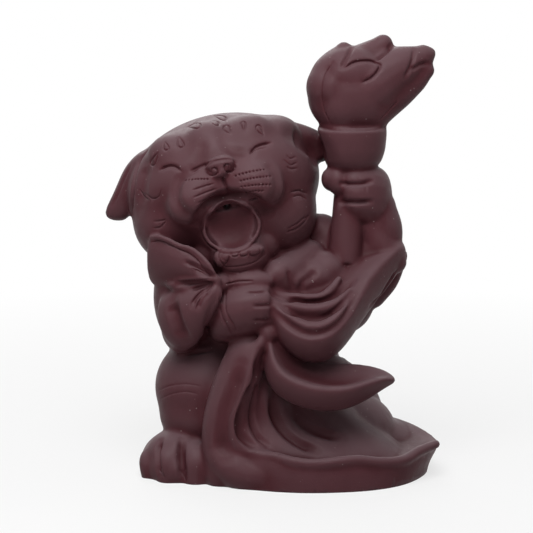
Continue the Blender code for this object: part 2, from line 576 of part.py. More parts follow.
def cup(clay):
    """The cup of the torch, turned about the handle's axis."""
    height = CUP_RIM - CUP_FOOT
    turned(clay, [
        (0, CUP_FOOT - 0.0015),
        (0.0060, CUP_FOOT - 0.0015),
        (CUP_FOOT_RADIUS, CUP_FOOT + 0.0003),
        (0.0112, CUP_FOOT + 0.18 * height),
        (CUP_WAIST_RADIUS, CUP_FOOT + 0.45 * height),
        (CUP_RIM_RADIUS, CUP_FOOT + 0.80 * height),
        (CUP_RIM_RADIUS, CUP_RIM),
        (0.0120, CUP_RIM + 0.0008),
        (0, CUP_RIM + 0.0008),
    ], TORCH_X, TORCH_Y)


def flame(clay):
    """Tongues of flame that lean to the viewer's right."""
    ball(clay, in_flame(-0.0005, 0.0118, 0.0000), (0.0160, 0.0120, 0.0145))
    ball(clay, in_flame(-0.0053, 0.0144, 0.0000), (0.0113, 0.0105, 0.0145))
    ball(clay, in_flame(-0.0009, 0.0199, 0.0000), (0.0130, 0.0110, 0.0105))
    coil(clay, [in_flame(-0.0027, 0.0092, 0.0000), in_flame(0.0084, 0.0165, 0.0010),
                in_flame(0.0183, 0.0224, 0.0020),
                in_flame(0.0261, 0.0263, 0.0030)], [0.0120, 0.0118, 0.0085, 0.0044])
    coil(clay, [in_flame(0.0176, 0.0198, 0.0020), in_flame(0.0239, 0.0238, 0.0030),
                in_flame(0.0287, 0.0274, 0.0030)],
         [0.0060, 0.0045, 0.0024])
    coil(clay, [in_flame(0.0073, 0.0078, 0.0000), in_flame(0.0169, 0.0136, 0.0010),
                in_flame(0.0235, 0.0179, 0.0020),
                in_flame(0.0276, 0.0212, 0.0020)], [0.0085, 0.0066, 0.0048, 0.0030])
    coil(clay, [in_flame(-0.0071, 0.0152, -0.0010), in_flame(-0.0068, 0.0225, 0.0000),
                in_flame(-0.0031, 0.0290, 0.0010)],
         [0.0100, 0.0064, 0.0030])
    coil(clay, [in_flame(-0.0027, 0.0173, 0.0010), in_flame(0.0047, 0.0241, 0.0030),
                in_flame(0.0114, 0.0307, 0.0040)],
         [0.0105, 0.0078, 0.0038])


def forms(mesh):
    clay = clay_of(mesh)
    ears(clay)
    foot(clay)
    tail(clay)
    train(clay)
    train_folds(clay)
    cuff(clay)
    raised_sleeve(clay)
    raised_arm(clay)
    flap(clay)
    low_paw(clay)
    cup(clay)
    flame(clay)
    return fused(clay, "forms", FORM_BLEND)


def nose_and_jaw(clay):
    """Nose, lower lip and chin, the lower teeth and the rim round the mouth."""
    head_ball(clay, 0.0010, 0.0064, 0.0308, (0.0054, 0.0038, 0.0031))
    head_ball(clay, 0.0002, 0.0036, 0.0318, (0.0036, 0.0030, 0.0022))
    head_ball(clay, 0.0012, -0.0285, 0.0180, (0.0109, 0.0140, 0.0092))
    head_ball(clay, 0.0078, -0.0240, 0.0190, (0.0048, 0.0100, 0.0070))
    head_ball(clay, -0.0064, -0.0268, 0.0292, (0.0022, 0.0022, 0.0034))
    for across, up, size in ((-0.0023, -0.0262, 0.0014), (0.0014, -0.0264, 0.0015),
                             (0.0060, -0.0262, 0.0019)):
        head_ball(clay, across, up, 0.0308, (size, 0.0016, size))
    ring = []
    for i in range(24):
        turn = 2 * math.pi * i / 24
        across = (MOUTH_HALF_WIDTH + MOUTH_RIM * 0.6) * math.cos(turn)
        up = MOUTH_UP + (MOUTH_HALF_HEIGHT + MOUTH_RIM * 0.6) * math.sin(turn)
        ring.append(on_head(across, up, MOUTH_OUT + MOUTH_STAND * math.cos(turn) ** 2))
    coil(clay, ring + ring[:1], [MOUTH_RIM] * 25)


def stub(clay, low, high, radius_low, radius_high):
    """A tapering round bar with flat ends."""
    low = Vector(low)
    run = Vector(high) - low
    shape = bmesh.new()
    matrix = Matrix.Translation(low + run / 2) @ run.to_track_quat("Z", "Y").to_matrix().to_4x4()
    bmesh.ops.create_cone(shape, cap_ends=True, segments=40, radius1=radius_low,
                          radius2=radius_high, depth=run.length, matrix=matrix)
    add(clay, shape)


def raised_paw(clay):
    """The handle, and the paw that is closed round it."""
    stub(clay, on_torch(-0.0027, -HANDLE_LENGTH - 0.0026, -0.0070), on_torch(0, 0.002, 0),
         HANDLE_RADIUS, 0.9 * HANDLE_RADIUS)
    cage(clay, [
        [on_torch(-0.0043, 0.0006, -0.0080), on_torch(-0.0042, -0.0168, -0.0080),
         on_torch(-0.0039, -0.0182, 0.0020), on_torch(-0.0040, -0.0006, 0.0020)],
        [on_torch(-0.0022, 0.0030, -0.0130), on_torch(-0.0021, -0.0195, -0.0130),
         on_torch(-0.0014, -0.0224, 0.0080), on_torch(-0.0015, 0.0006, 0.0080)],
        [on_torch(0.0043, 0.0038, -0.0140), on_torch(0.0045, -0.0228, -0.0130),
         on_torch(0.0055, -0.0264, 0.0120), on_torch(0.0053, 0.0009, 0.0120)],
        [on_torch(0.0114, 0.0026, -0.0100), on_torch(0.0124, -0.0241, -0.0090),
         on_torch(0.0134, -0.0272, 0.0120), on_torch(0.0125, 0.0001, 0.0120)],
        [on_torch(0.0152, -0.0050, -0.0020), on_torch(0.0157, -0.0197, -0.0010),
         on_torch(0.0163, -0.0212, 0.0100), on_torch(0.0158, -0.0064, 0.0100)],
    ])
    ball(clay, on_torch(-0.0078, -0.0042, -0.0020), (0.0030, 0.0042, 0.0043))
    coil(clay, [on_torch(-0.0070, -0.0041, -0.0030), on_torch(-0.0032, -0.0042, 0.0010),
                on_torch(0.0025, -0.0071, 0.0060)], [0.0034, 0.0045, 0.0060])


def hollows():
    """What is cut out: the mouth, the cone's seat and the bore between them."""
    hole = bmesh.new()
    head_ball(hole, 0, MOUTH_UP, MOUTH_OUT, (MOUTH_HALF_WIDTH, MOUTH_DEPTH, MOUTH_HALF_HEIGHT))
    head_ball(hole, 0, MOUTH_UP + 0.0064, MOUTH_OUT - 0.0050, (0.0052, 0.0026, 0.0026))
    seat = bmesh.new()
    floor = Vector(HEAD_CENTRE) + Vector((0, SEAT_BEHIND, SEAT_RISE))
    depth = 0.030
    matrix = Matrix.Translation(floor + Vector((0, 0, depth / 2)))
    bmesh.ops.create_cone(seat, cap_ends=True, segments=40, radius1=SEAT_RADIUS,
                          radius2=SEAT_RADIUS, depth=depth, matrix=matrix)
    add(hole, seat)
    coil(hole, [floor + Vector((0, 0, 0.004)), on_head(0, 0.004, 0.006),
                on_head(0, -0.003, 0.0165), on_head(0, MOUTH_UP + 0.0076, MOUTH_OUT - 0.0064)],
         [BORE_RADIUS] * 4)
    mesh = bpy.data.meshes.new("hollows")
    hole.to_mesh(mesh)
    hole.free()
    cutter = placed("hollows", mesh)
    skin = cutter.modifiers.new("one skin", "REMESH")
    skin.mode = "VOXEL"
    skin.voxel_size = GRAIN / 2
    return placed("hollows", evaluated(cutter))


def sleeve_rolls(clay):
    """The rolls that the cloth makes where it hangs inside the raised sleeve."""
    coil(clay, [(-0.0026, -0.0320, 0.0712), (0.0025, -0.0320, 0.0687), (0.0086, -0.0320, 0.0679),
                (0.0133, -0.0320, 0.0675), (0.0177, -0.0310, 0.0681),
                (0.0210, -0.0290, 0.0703), (0.0240, -0.0260, 0.0739)],
         [0.0010, 0.0013, 0.0015, 0.0016, 0.0015, 0.0013, 0.0010])
    coil(clay, [(-0.0019, -0.0350, 0.0695), (0.0032, -0.0360, 0.0668), (0.0082, -0.0370, 0.0651),
                (0.0136, -0.0370, 0.0644), (0.0190, -0.0370, 0.0651),
                (0.0238, -0.0340, 0.0668), (0.0279, -0.0300, 0.0705)],
         [0.0010, 0.0017, 0.0020, 0.0021, 0.0020, 0.0017, 0.0010])
    coil(clay, [(-0.0012, -0.0370, 0.0680), (0.0035, -0.0400, 0.0635), (0.0089, -0.0420, 0.0602),
                (0.0142, -0.0430, 0.0589), (0.0193, -0.0420, 0.0598),
                (0.0236, -0.0390, 0.0625), (0.0282, -0.0320, 0.0679)],
         [0.0010, 0.0016, 0.0019, 0.0020, 0.0019, 0.0016, 0.0010])


def details(mesh):
    """Adds the small forms, and cuts the hollows."""
    clay = clay_of(mesh)
    nose_and_jaw(clay)
    raised_paw(clay)
    sleeve_rolls(clay)
    mesh = fused(clay, "details", DETAIL_BLEND)
    obj = placed("details", mesh)
    cutter = hollows()
    cut = obj.modifiers.new("hollows", "BOOLEAN")
    cut.operation = "DIFFERENCE"
    cut.object = cutter
    skin = obj.modifiers.new("one skin", "REMESH")
    skin.mode = "VOXEL"
    skin.voxel_size = GRAIN
    soft = obj.modifiers.new("soft", "SMOOTH")
    soft.factor = 0.5
    soft.iterations = 1
    mesh = evaluated(obj)
    bpy.data.objects.remove(cutter)
    return mesh


# Each line is its points as (x, z) on the upright plane through the origin, the half width
# of the groove, and its depth; a negative depth raises a ridge instead
EYES = [
    ([(-0.0421, 0.1110), (-0.0403, 0.1119), (-0.0380, 0.1124), (-0.0362, 0.1119),
      (-0.0343, 0.1106)], 0.0014, 0.0012),
    ([(-0.0084, 0.1170), (-0.0071, 0.1187), (-0.0056, 0.1198), (-0.0034, 0.1205),
      (-0.0009, 0.1209)], 0.0014, 0.0012),
]
FACE_CREASES = [
    ([(-0.0261, 0.1220), (-0.0261, 0.1187), (-0.0276, 0.1153), (-0.0294, 0.1123),
      (-0.0313, 0.1097)], 0.0034, 0.0006),
    ([(-0.0197, 0.1243), (-0.0186, 0.1213), (-0.0164, 0.1187), (-0.0130, 0.1172),
      (-0.0090, 0.1175)], 0.0034, 0.0008),
    ([(-0.0306, 0.1108), (-0.0276, 0.1121), (-0.0242, 0.1134)], 0.0013, 0.0008),
    ([(-0.0187, 0.1074), (-0.0179, 0.1052), (-0.0168, 0.1029), (-0.0161, 0.1014)], 0.0015, 0.0014),
    ([(-0.0309, 0.1101), (-0.0343, 0.1078), (-0.0362, 0.1033), (-0.0355, 0.0988),
      (-0.0325, 0.0954)], 0.0042, 0.0009),
    ([(-0.0034, 0.1138), (-0.0000, 0.1112), (0.0019, 0.1067), (0.0011, 0.1014),
      (-0.0023, 0.0973)], 0.0042, 0.0010),
    ([(-0.0265, 0.0935), (-0.0250, 0.0965), (-0.0224, 0.0992), (-0.0190, 0.1007), (-0.0149, 0.1012),
      (-0.0105, 0.1005), (-0.0064, 0.0988),
      (-0.0037, 0.0961)], 0.0030, 0.0044),
]
NOSE = [
    ([(-0.0246, 0.1112), (-0.0235, 0.1097), (-0.0213, 0.1093), (-0.0201, 0.1104),
      (-0.0213, 0.1117)], 0.0010, 0.0008),
    ([(-0.0145, 0.1116), (-0.0157, 0.1102), (-0.0172, 0.1108), (-0.0179, 0.1127)], 0.0010, 0.0008),
    ([(-0.0246, 0.1123), (-0.0224, 0.1138), (-0.0190, 0.1146), (-0.0160, 0.1146)], 0.0011, 0.0005),
]
EAR_FOLDS = [
    ([(0.0089, 0.1217), (0.0115, 0.1204), (0.0141, 0.1189), (0.0164, 0.1175)], 0.0048, 0.0040),
    ([(-0.0473, 0.1175), (-0.0495, 0.1146), (-0.0511, 0.1104), (-0.0522, 0.1048), (-0.0527, 0.0992),
      (-0.0531, 0.0939)], 0.0020, 0.0017),
    ([(-0.0473, 0.1123), (-0.0489, 0.1059), (-0.0497, 0.0980)], 0.0050, 0.0012),
    ([(-0.0529, 0.1131), (-0.0556, 0.1078), (-0.0579, 0.1022), (-0.0601, 0.0973)], 0.0013, 0.0006),
]
CUFF_FOLDS = [
    ([(-0.0408, 0.0841), (-0.0356, 0.0820), (-0.0307, 0.0808), (-0.0277, 0.0782), (-0.0251, 0.0746),
      (-0.0221, 0.0708)],
     0.0013, 0.0011),
    ([(-0.0221, 0.0708), (-0.0259, 0.0731), (-0.0296, 0.0748), (-0.0330, 0.0761)], 0.0015, 0.0011),
    ([(-0.0225, 0.0700), (-0.0263, 0.0716), (-0.0300, 0.0731)], 0.0015, 0.0009),
    ([(-0.0221, 0.0693), (-0.0274, 0.0698), (-0.0319, 0.0698), (-0.0364, 0.0693)], 0.0014, -0.0007),
    ([(-0.0225, 0.0687), (-0.0282, 0.0687), (-0.0334, 0.0681), (-0.0387, 0.0662)], 0.0016, 0.0006),
    ([(-0.0225, 0.0681), (-0.0263, 0.0670), (-0.0304, 0.0655)], 0.0015, 0.0010),
    ([(-0.0233, 0.0670), (-0.0267, 0.0647), (-0.0293, 0.0620), (-0.0304, 0.0590)], 0.0015, 0.0011),
    ([(-0.0244, 0.0647), (-0.0267, 0.0620), (-0.0282, 0.0582)], 0.0015, 0.0009),
    ([(-0.0383, 0.0605), (-0.0376, 0.0567), (-0.0361, 0.0517), (-0.0335, 0.0464)], 0.0046, 0.0026),
    ([(-0.0191, 0.0677), (-0.0210, 0.0636), (-0.0233, 0.0582), (-0.0252, 0.0521),
      (-0.0271, 0.0460)], 0.0022, 0.0006),
]
SLEEVE_FOLDS = [
    ([(-0.0019, 0.0655), (0.0019, 0.0628), (0.0071, 0.0613), (0.0139, 0.0603), (0.0207, 0.0613),
      (0.0259, 0.0643), (0.0297, 0.0685)],
     0.0024, 0.0019),
    ([(-0.0011, 0.0632), (0.0034, 0.0607), (0.0087, 0.0590), (0.0143, 0.0582), (0.0199, 0.0590),
      (0.0248, 0.0613), (0.0289, 0.0655)],
     0.0017, -0.0008),
    ([(0.0004, 0.0605), (0.0041, 0.0580), (0.0087, 0.0555), (0.0143, 0.0540), (0.0192, 0.0548),
      (0.0233, 0.0573), (0.0263, 0.0605),
      (0.0289, 0.0643)], 0.0017, 0.0016),
    ([(0.0011, 0.0586), (0.0049, 0.0559), (0.0094, 0.0531), (0.0151, 0.0517), (0.0200, 0.0529),
      (0.0245, 0.0559), (0.0278, 0.0601)],
     0.0017, -0.0008),
    ([(0.0008, 0.0578), (0.0041, 0.0540), (0.0079, 0.0510), (0.0117, 0.0490), (0.0158, 0.0485),
      (0.0207, 0.0498), (0.0252, 0.0533),
      (0.0286, 0.0578), (0.0312, 0.0632), (0.0342, 0.0681)], 0.0022, 0.0020),
    ([(0.0056, 0.0731), (0.0064, 0.0693), (0.0079, 0.0655)], 0.0017, 0.0010),
    ([(0.0161, 0.0731), (0.0143, 0.0704), (0.0109, 0.0681), (0.0101, 0.0647)], 0.0024, 0.0008),
    ([(0.0461, 0.0723), (0.0432, 0.0677), (0.0398, 0.0624), (0.0365, 0.0594)], 0.0016, 0.0012),
]
TRAIN_FOLDS = [
    ([(-0.0045, 0.0418), (-0.0072, 0.0318), (-0.0102, 0.0233), (-0.0129, 0.0163), (-0.0125, 0.0101),
      (-0.0083, 0.0054)], 0.0026, 0.0014),
    ([(-0.0064, 0.0279), (-0.0075, 0.0217), (-0.0079, 0.0155), (-0.0064, 0.0101),
      (-0.0026, 0.0058)], 0.0020, 0.0012),
    ([(-0.0007, 0.0225), (0.0004, 0.0171), (0.0038, 0.0113), (0.0095, 0.0066),
      (0.0164, 0.0035)], 0.0026, 0.0012),
    ([(0.0065, 0.0186), (0.0110, 0.0136), (0.0171, 0.0105), (0.0262, 0.0085)], 0.0030, 0.0008),
    ([(-0.0124, 0.0364), (-0.0147, 0.0279), (-0.0178, 0.0194), (-0.0193, 0.0093),
      (-0.0178, 0.0015)], 0.0046, 0.0012),
    ([(-0.0358, 0.0410), (-0.0294, 0.0414), (-0.0230, 0.0425)], 0.0012, 0.0006),
]


def torch_line(points, half_width, depth):
    """A line on the torch: its points run across from the axis and up from the cup's foot."""
    return [(TORCH_X + across, CUP_FOOT + up) for across, up in points], half_width, depth


PAW_LINES = [
    torch_line([(-0.0038, -0.0069), (-0.0004, -0.0070),
                (0.0033, -0.0069), (0.0074, -0.0061)], 0.0015, 0.0016),
    torch_line([(-0.0037, -0.0138), (-0.0004, -0.0140),
                (0.0034, -0.0140), (0.0075, -0.0136)], 0.0015, 0.0016),
    ([(-0.0098, 0.0647), (-0.0064, 0.0645), (-0.0026, 0.0649)], 0.0011, 0.0008),
    ([(-0.0071, 0.0594), (-0.0041, 0.0594), (-0.0011, 0.0596)], 0.0011, 0.0008),
    ([(-0.0071, 0.0540), (-0.0041, 0.0538), (-0.0011, 0.0540)], 0.0011, 0.0008),
]
TOE_LINES = [
    ([(-0.0428, 0.0074), (-0.0440, 0.0019), (-0.0433, -0.0055)], 0.0022, 0.0014),
    ([(-0.0345, 0.0078), (-0.0349, 0.0012), (-0.0342, -0.0070)], 0.0022, 0.0014),
]
FLAME_LINES = [
    torch_line([(-0.0109, 0.0221), (-0.0110, 0.0288),
                (-0.0088, 0.0351), (-0.0047, 0.0403)], 0.0034, 0.0006),
    torch_line([(0.0001, 0.0436), (-0.0025, 0.0391), (-0.0040, 0.0362)], 0.0014, 0.0010),
    torch_line([(0.0008, 0.0384), (0.0056, 0.0395), (0.0097, 0.0369),
                (0.0083, 0.0336), (0.0042, 0.0303)], 0.0014, 0.0010),
    torch_line([(0.0148, 0.0447), (0.0123, 0.0417), (0.0090, 0.0391)], 0.0014, 0.0010),
    torch_line([(0.0230, 0.0432), (0.0223, 0.0380), (0.0198, 0.0329)], 0.0014, 0.0008),
    torch_line([(0.0279, 0.0380), (0.0253, 0.0373), (0.0223, 0.0355)], 0.0014, 0.0008),
]
CUP_LINES = [
    torch_line([(-0.0120, 0.0141), (-0.0065, 0.0133), (0.0002, 0.0132),
                (0.0069, 0.0133), (0.0125, 0.0141)], 0.0010, 0.0007),
]
LINES = (EYES + FACE_CREASES + NOSE + EAR_FOLDS + CUFF_FOLDS + SLEEVE_FOLDS + TRAIN_FOLDS
         + PAW_LINES + TOE_LINES + FLAME_LINES + CUP_LINES)


def smooth_line(points, step):
    """Points about a step apart on a smooth line through the given ones."""
    ends = [2 * points[0] - points[1]] + points + [2 * points[-1] - points[-2]]
    line = []
    for a, b, c, d in zip(ends, ends[1:], ends[2:], ends[3:]):
        count = max(2, math.ceil((c - b).length / step))
        for i in range(count):
            t = i / count
            line.append(0.5 * (2 * b + (c - a) * t + (2 * a - 5 * b + 4 * c - d) * t ** 2
                               + (3 * b - a - 3 * c + d) * t ** 3))
    return line + [points[-1]]


def dropped(surface, line):
    """The line laid on the front of the clay, as it is seen from the viewpoint."""
    hits = [surface.ray_cast(VIEWPOINT, point - VIEWPOINT)[0] for point in line]
    hits = [hit for hit in hits if hit is not None]
    for _ in range(3):
        middle = [(a + 2 * b + c) / 4 for a, b, c in zip(hits, hits[1:], hits[2:])]
        hits = hits[:1] + middle + hits[-1:]
    return hits


def share_of_line(places, line, half_width):
    """How fully each place takes the line's depth: 1 on it, 0 from its half width outwards."""
    starts = np.array(line[:-1])
    runs = np.array(line[1:]) - starts
    lengths = np.maximum((runs ** 2).sum(1), 1e-12)
    away = places[:, None, :] - starts[None]
    along = np.clip((away * runs).sum(2) / lengths, 0, 1)
    distance = np.linalg.norm(away - along[..., None] * runs, axis=2)
    best = distance.argmin(1)
    rows = np.arange(len(places))
    travelled = (best + along[rows, best]) / len(runs)
    fade = np.clip(0.35 + 4 * np.minimum(travelled, 1 - travelled), 0, 1)
    return fade * np.clip(1 - (distance[rows, best] / half_width) ** 2, 0, 1) ** 2


def score(mesh, lines):
    """Scores lines into the front of the clay, or raises them."""
    surface = BVHTree.FromPolygons([vertex.co for vertex in mesh.vertices],
                                   [face.vertices for face in mesh.polygons])
    places = np.array([vertex.co for vertex in mesh.vertices])
    normals = np.array([vertex.normal for vertex in mesh.vertices])
    nearest = KDTree(len(places))
    for index, place in enumerate(places):
        nearest.insert(place, index)
    nearest.balance()
    moves = np.zeros(len(places))
    for points, half_width, depth in lines:
        flat = smooth_line([Vector((x, 0, z)) for x, z in points], half_width / 2)
        line = dropped(surface, flat)
        close = set()
        for hit in line:
            close.update(found[1] for found in nearest.find_range(hit, half_width * 1.1))
        close = np.array(sorted(close))
        moves[close] -= depth * share_of_line(places[close], line, half_width)
    places += normals * moves[:, None]
    mesh.vertices.foreach_set("co", places.ravel())
    mesh.update()


def finished(mesh):
    """Thins the skin out to its triangle budget and cuts the foot flat."""
    obj = placed("figure", mesh, collection_of("backflow incense burner"))
    obj.data.materials.append(fired_clay())
    thin = obj.modifiers.new("thin", "DECIMATE")
    thin.ratio = TRIANGLES / (2 * len(mesh.polygons))
    floor = placed("floor_cutter", bpy.data.meshes.new("floor_cutter"), collection_of("cutters"))
    block = bmesh.new()
    bmesh.ops.create_cube(block, size=1, matrix=Matrix.Translation((0, 0, -FLOOR_CUT / 2))
                          @ Matrix.Diagonal((0.3, 0.3, FLOOR_CUT, 1)))
    block.to_mesh(floor.data)
    block.free()
    floor.hide_render = True
    floor.display_type = "WIRE"
    cut = obj.modifiers.new("flat foot", "BOOLEAN")
    cut.operation = "DIFFERENCE"
    cut.object = floor
    return obj


def main():
    for obj in list(bpy.data.objects):
        bpy.data.objects.remove(obj)
    mesh = details(forms(masses()))
    score(mesh, LINES)
    finished(mesh)


main()
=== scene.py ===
"""Backflow incense burner: a singing tiger cub in long sleeves, holding a torch up.

The figure is built up as a potter would: soft masses pressed together, smaller forms
added to them, hollows cut, and lines scored into the finished skin.
"""
import math

import bmesh
import bpy
import numpy as np
from mathutils import Matrix, Vector
from mathutils.bvhtree import BVHTree
from mathutils.kdtree import KDTree


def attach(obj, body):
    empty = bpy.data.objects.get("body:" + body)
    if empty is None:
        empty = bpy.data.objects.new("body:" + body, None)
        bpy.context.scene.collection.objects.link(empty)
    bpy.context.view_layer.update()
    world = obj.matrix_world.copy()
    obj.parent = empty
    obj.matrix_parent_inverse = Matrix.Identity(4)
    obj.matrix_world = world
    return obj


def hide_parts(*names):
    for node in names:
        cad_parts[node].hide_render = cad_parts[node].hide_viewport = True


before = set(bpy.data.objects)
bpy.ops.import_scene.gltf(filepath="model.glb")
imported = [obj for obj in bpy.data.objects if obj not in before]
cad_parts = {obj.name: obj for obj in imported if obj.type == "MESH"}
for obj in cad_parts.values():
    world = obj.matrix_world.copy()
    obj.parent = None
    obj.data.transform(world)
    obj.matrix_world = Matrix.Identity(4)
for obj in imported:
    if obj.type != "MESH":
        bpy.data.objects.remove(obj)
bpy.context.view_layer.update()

# Working fineness of the clay, how far each stage is softened, how often the edges of the
# hollows are, and the triangles that are left at the end
GRAIN = 0.0005
MASS_BLEND = 0.0040
FORM_BLEND = 0.0015
DETAIL_BLEND = 0.0007
EDGE_ROUNDS = 3
TRIANGLES = 190000

# Head: an ellipsoid that is tipped back and rolled to the viewer's left
HEAD_CENTRE = (-0.0186, -0.0020, 0.1054)
HEAD_HALF_WIDTH = 0.0366
HEAD_HALF_DEPTH = 0.0320
HEAD_HALF_HEIGHT = 0.0266
HEAD_PITCH = math.radians(9)
HEAD_ROLL = math.radians(12.7)

# Mouth: a round hollow under the whisker pads, with a raised rim, and the narrow exit of the
# smoke at its top
MOUTH_UP = -0.0162
MOUTH_OUT = 0.0285
MOUTH_HALF_WIDTH = 0.0096
MOUTH_HALF_HEIGHT = 0.0081
MOUTH_DEPTH = 0.0052
MOUTH_RIM = 0.0008
MOUTH_STAND = -0.0015
RIM_STEPS = 24
GROOVE_STEPS = 32
EXIT_UP = 0.0070
EXIT_IN = 0.0026
EXIT_RADII = (0.0048, 0.0018, 0.0014)

# Level seat for the incense cone, let into the back of the crown, and the bore that leads
# the cone's smoke down to the mouth
SEAT_BEHIND = 0.0185
SEAT_RISE = 0.0120
SEAT_RADIUS = 0.0085
SEAT_CUT = 0.030
BORE_RADIUS = 0.0025
BORE_START = 0.004
BORE_BENDS = ((0, 0.004, 0.006), (0, -0.003, 0.0165), (0, MOUTH_UP + 0.0074, MOUTH_OUT - 0.0040))

# Torch: the cup's foot stands on the handle, and the cup holds the flame
TORCH_X = 0.0291
TORCH_Y = -0.006
HANDLE_RADIUS = 0.0062
HANDLE_LENGTH = 0.0325
CUP_FOOT = 0.1126
CUP_HEIGHT = 0.0144
CUP_RIM = CUP_FOOT + CUP_HEIGHT
CUP_FOOT_RADIUS = 0.0094
CUP_WAIST_RADIUS = 0.0124
CUP_RIM_RADIUS = 0.0129

# Lines are scored as they are drawn on the front, seen from here
VIEWPOINT = Vector((-0.0024, -0.889, 0.215))

# Depth and width of the block under the floor that cuts the foot flat
FLOOR_CUT = 0.020
FLOOR_CUT_WIDTH = 0.3


def mm(lengths):
    """Lengths written in millimetres, or nested lists of them, in metres."""
    if isinstance(lengths, (int, float)):
        return round(lengths / 1000, 7)
    return type(lengths)(mm(length) for length in lengths)


def frame_of(centre, pitch, roll):
    """A frame whose columns run across, back and up, tipped back by pitch and rolled by roll."""
    turn = Matrix.Rotation(-pitch, 4, "X") @ Matrix.Rotation(-roll, 4, "Y")
    return Matrix.Translation(centre) @ turn


HEAD = frame_of(HEAD_CENTRE, HEAD_PITCH, HEAD_ROLL)


def on_head(across, up, out):
    """A point of the head: across and up are seen from the front, out is towards the viewer."""
    return HEAD @ Vector((across, -out, up))


def on_torch(across, up, back):
    """A point beside the torch: up is from the foot of its cup."""
    return Vector((TORCH_X + across, TORCH_Y + back, CUP_FOOT + up))


def in_flame(across, up, back):
    """A point of the flame: up is from the rim of the cup."""
    return on_torch(across, CUP_HEIGHT + up, back)


def mesh_of(shape, name):
    """The mesh of a shape, which is freed."""
    mesh = bpy.data.meshes.new(name)
    shape.to_mesh(mesh)
    shape.free()
    return mesh


def add(clay, shape):
    """Adds a shape to the clay, and frees it."""
    mesh = mesh_of(shape, "shape")
    clay.from_mesh(mesh)
    bpy.data.meshes.remove(mesh)


def ball(clay, centre, radii, turn=None):
    """Presses an ellipsoid into the clay."""
    turn = turn.to_4x4() if turn else Matrix.Identity(4)
    matrix = Matrix.Translation(centre) @ turn @ Matrix.Diagonal((*radii, 1))
    shape = bmesh.new()
    bmesh.ops.create_uvsphere(shape, u_segments=32, v_segments=18, radius=1, matrix=matrix)
    add(clay, shape)


def balls(clay, rows):
    """Ellipsoids in millimetres: centre and radii."""
    for centre, radii in mm(rows):
        ball(clay, centre, radii)


def head_ball(clay, across, up, out, radii, roll=0.0):
    """An ellipsoid in the head's own frame; radii run across, out and up."""
    turn = HEAD.to_3x3() @ Matrix.Rotation(math.radians(-roll), 3, "Y")
    ball(clay, on_head(across, up, out), radii, turn)


def head_balls(clay, rows):
    """Ellipsoids of the head in millimetres: across, up, out, radii, and the roll in degrees."""
    for across, up, out, radii, *roll in rows:
        head_ball(clay, *mm((across, up, out, radii)), *roll)


def placed(name, data):
    obj = bpy.data.objects.new(name, data)
    bpy.context.scene.collection.objects.link(obj)
    return obj


def evaluated(obj):
    """Replaces an object by the mesh that its modifiers give."""
    graph = bpy.context.evaluated_depsgraph_get()
    mesh = bpy.data.meshes.new_from_object(obj.evaluated_get(graph))
    mesh.transform(obj.matrix_world)
    bpy.data.objects.remove(obj)
    return mesh


def take(clay, obj):
    mesh = evaluated(obj)
    clay.from_mesh(mesh)
    bpy.data.meshes.remove(mesh)


def coil(clay, points, radii):
    """Rolls a tapering coil of clay through the points, with round ends."""
    curve = bpy.data.curves.new("coil", "CURVE")
    curve.dimensions = "3D"
    curve.bevel_depth = 1.0
    curve.bevel_resolution = 6
    curve.use_fill_caps = True
    curve.resolution_u = 8
    spline = curve.splines.new("BEZIER")
    spline.bezier_points.add(len(points) - 1)
    for knot, point, radius in zip(spline.bezier_points, points, radii):
        knot.co = point
        knot.radius = radius
        knot.handle_left_type = knot.handle_right_type = "AUTO"
    take(clay, placed("coil", curve))
    for end in (0, -1):
        ball(clay, points[end], [radii[end]] * 3)


def coils(clay, rows):
    """Coils in millimetres: points and radii."""
    for points, radii in mm(rows):
        coil(clay, points, radii)


def rounded(obj):
    smooth = obj.modifiers.new("rounded", "SUBSURF")
    smooth.levels = smooth.render_levels = 2


def one_skin(obj, grain):
    skin = obj.modifiers.new("one skin", "REMESH")
    skin.mode = "VOXEL"
    skin.voxel_size = grain


def softened(obj, rounds):
    soft = obj.modifiers.new("soft", "SMOOTH")
    soft.factor = 0.5
    soft.iterations = rounds


def cut_away(obj, cutter):
    cut = obj.modifiers.new("cut away", "BOOLEAN")
    cut.operation = "DIFFERENCE"
    cut.object = cutter


def cage(clay, rings):
    """Rounds a coarse cage of equal rings of points, whose first and last rings are capped."""
    shape = bmesh.new()
    grid = [[shape.verts.new(point) for point in ring] for ring in rings]
    count = len(grid[0])
    for lower, upper in zip(grid, grid[1:]):
        for i in range(count):
            j = (i + 1) % count
            shape.faces.new((lower[i], lower[j], upper[j], upper[i]))
    shape.faces.new(grid[0][::-1])
    shape.faces.new(grid[-1])
    bmesh.ops.recalc_face_normals(shape, faces=shape.faces)
    obj = placed("cage", mesh_of(shape, "cage"))
    rounded(obj)
    take(clay, obj)


def cloth(clay, rows, thickness):
    """A sheet of cloth over a coarse net of points, with its thickness on both sides."""
    shape = bmesh.new()
    grid = [[shape.verts.new(point) for point in row] for row in rows]
    for lower, upper in zip(grid, grid[1:]):
        for i in range(len(lower) - 1):
            shape.faces.new((lower[i], lower[i + 1], upper[i + 1], upper[i]))
    bmesh.ops.recalc_face_normals(shape, faces=shape.faces)
    obj = placed("cloth", mesh_of(shape, "cloth"))
    solid = obj.modifiers.new("thickness", "SOLIDIFY")
    solid.thickness = thickness
    solid.offset = 0
    rounded(obj)
    take(clay, obj)


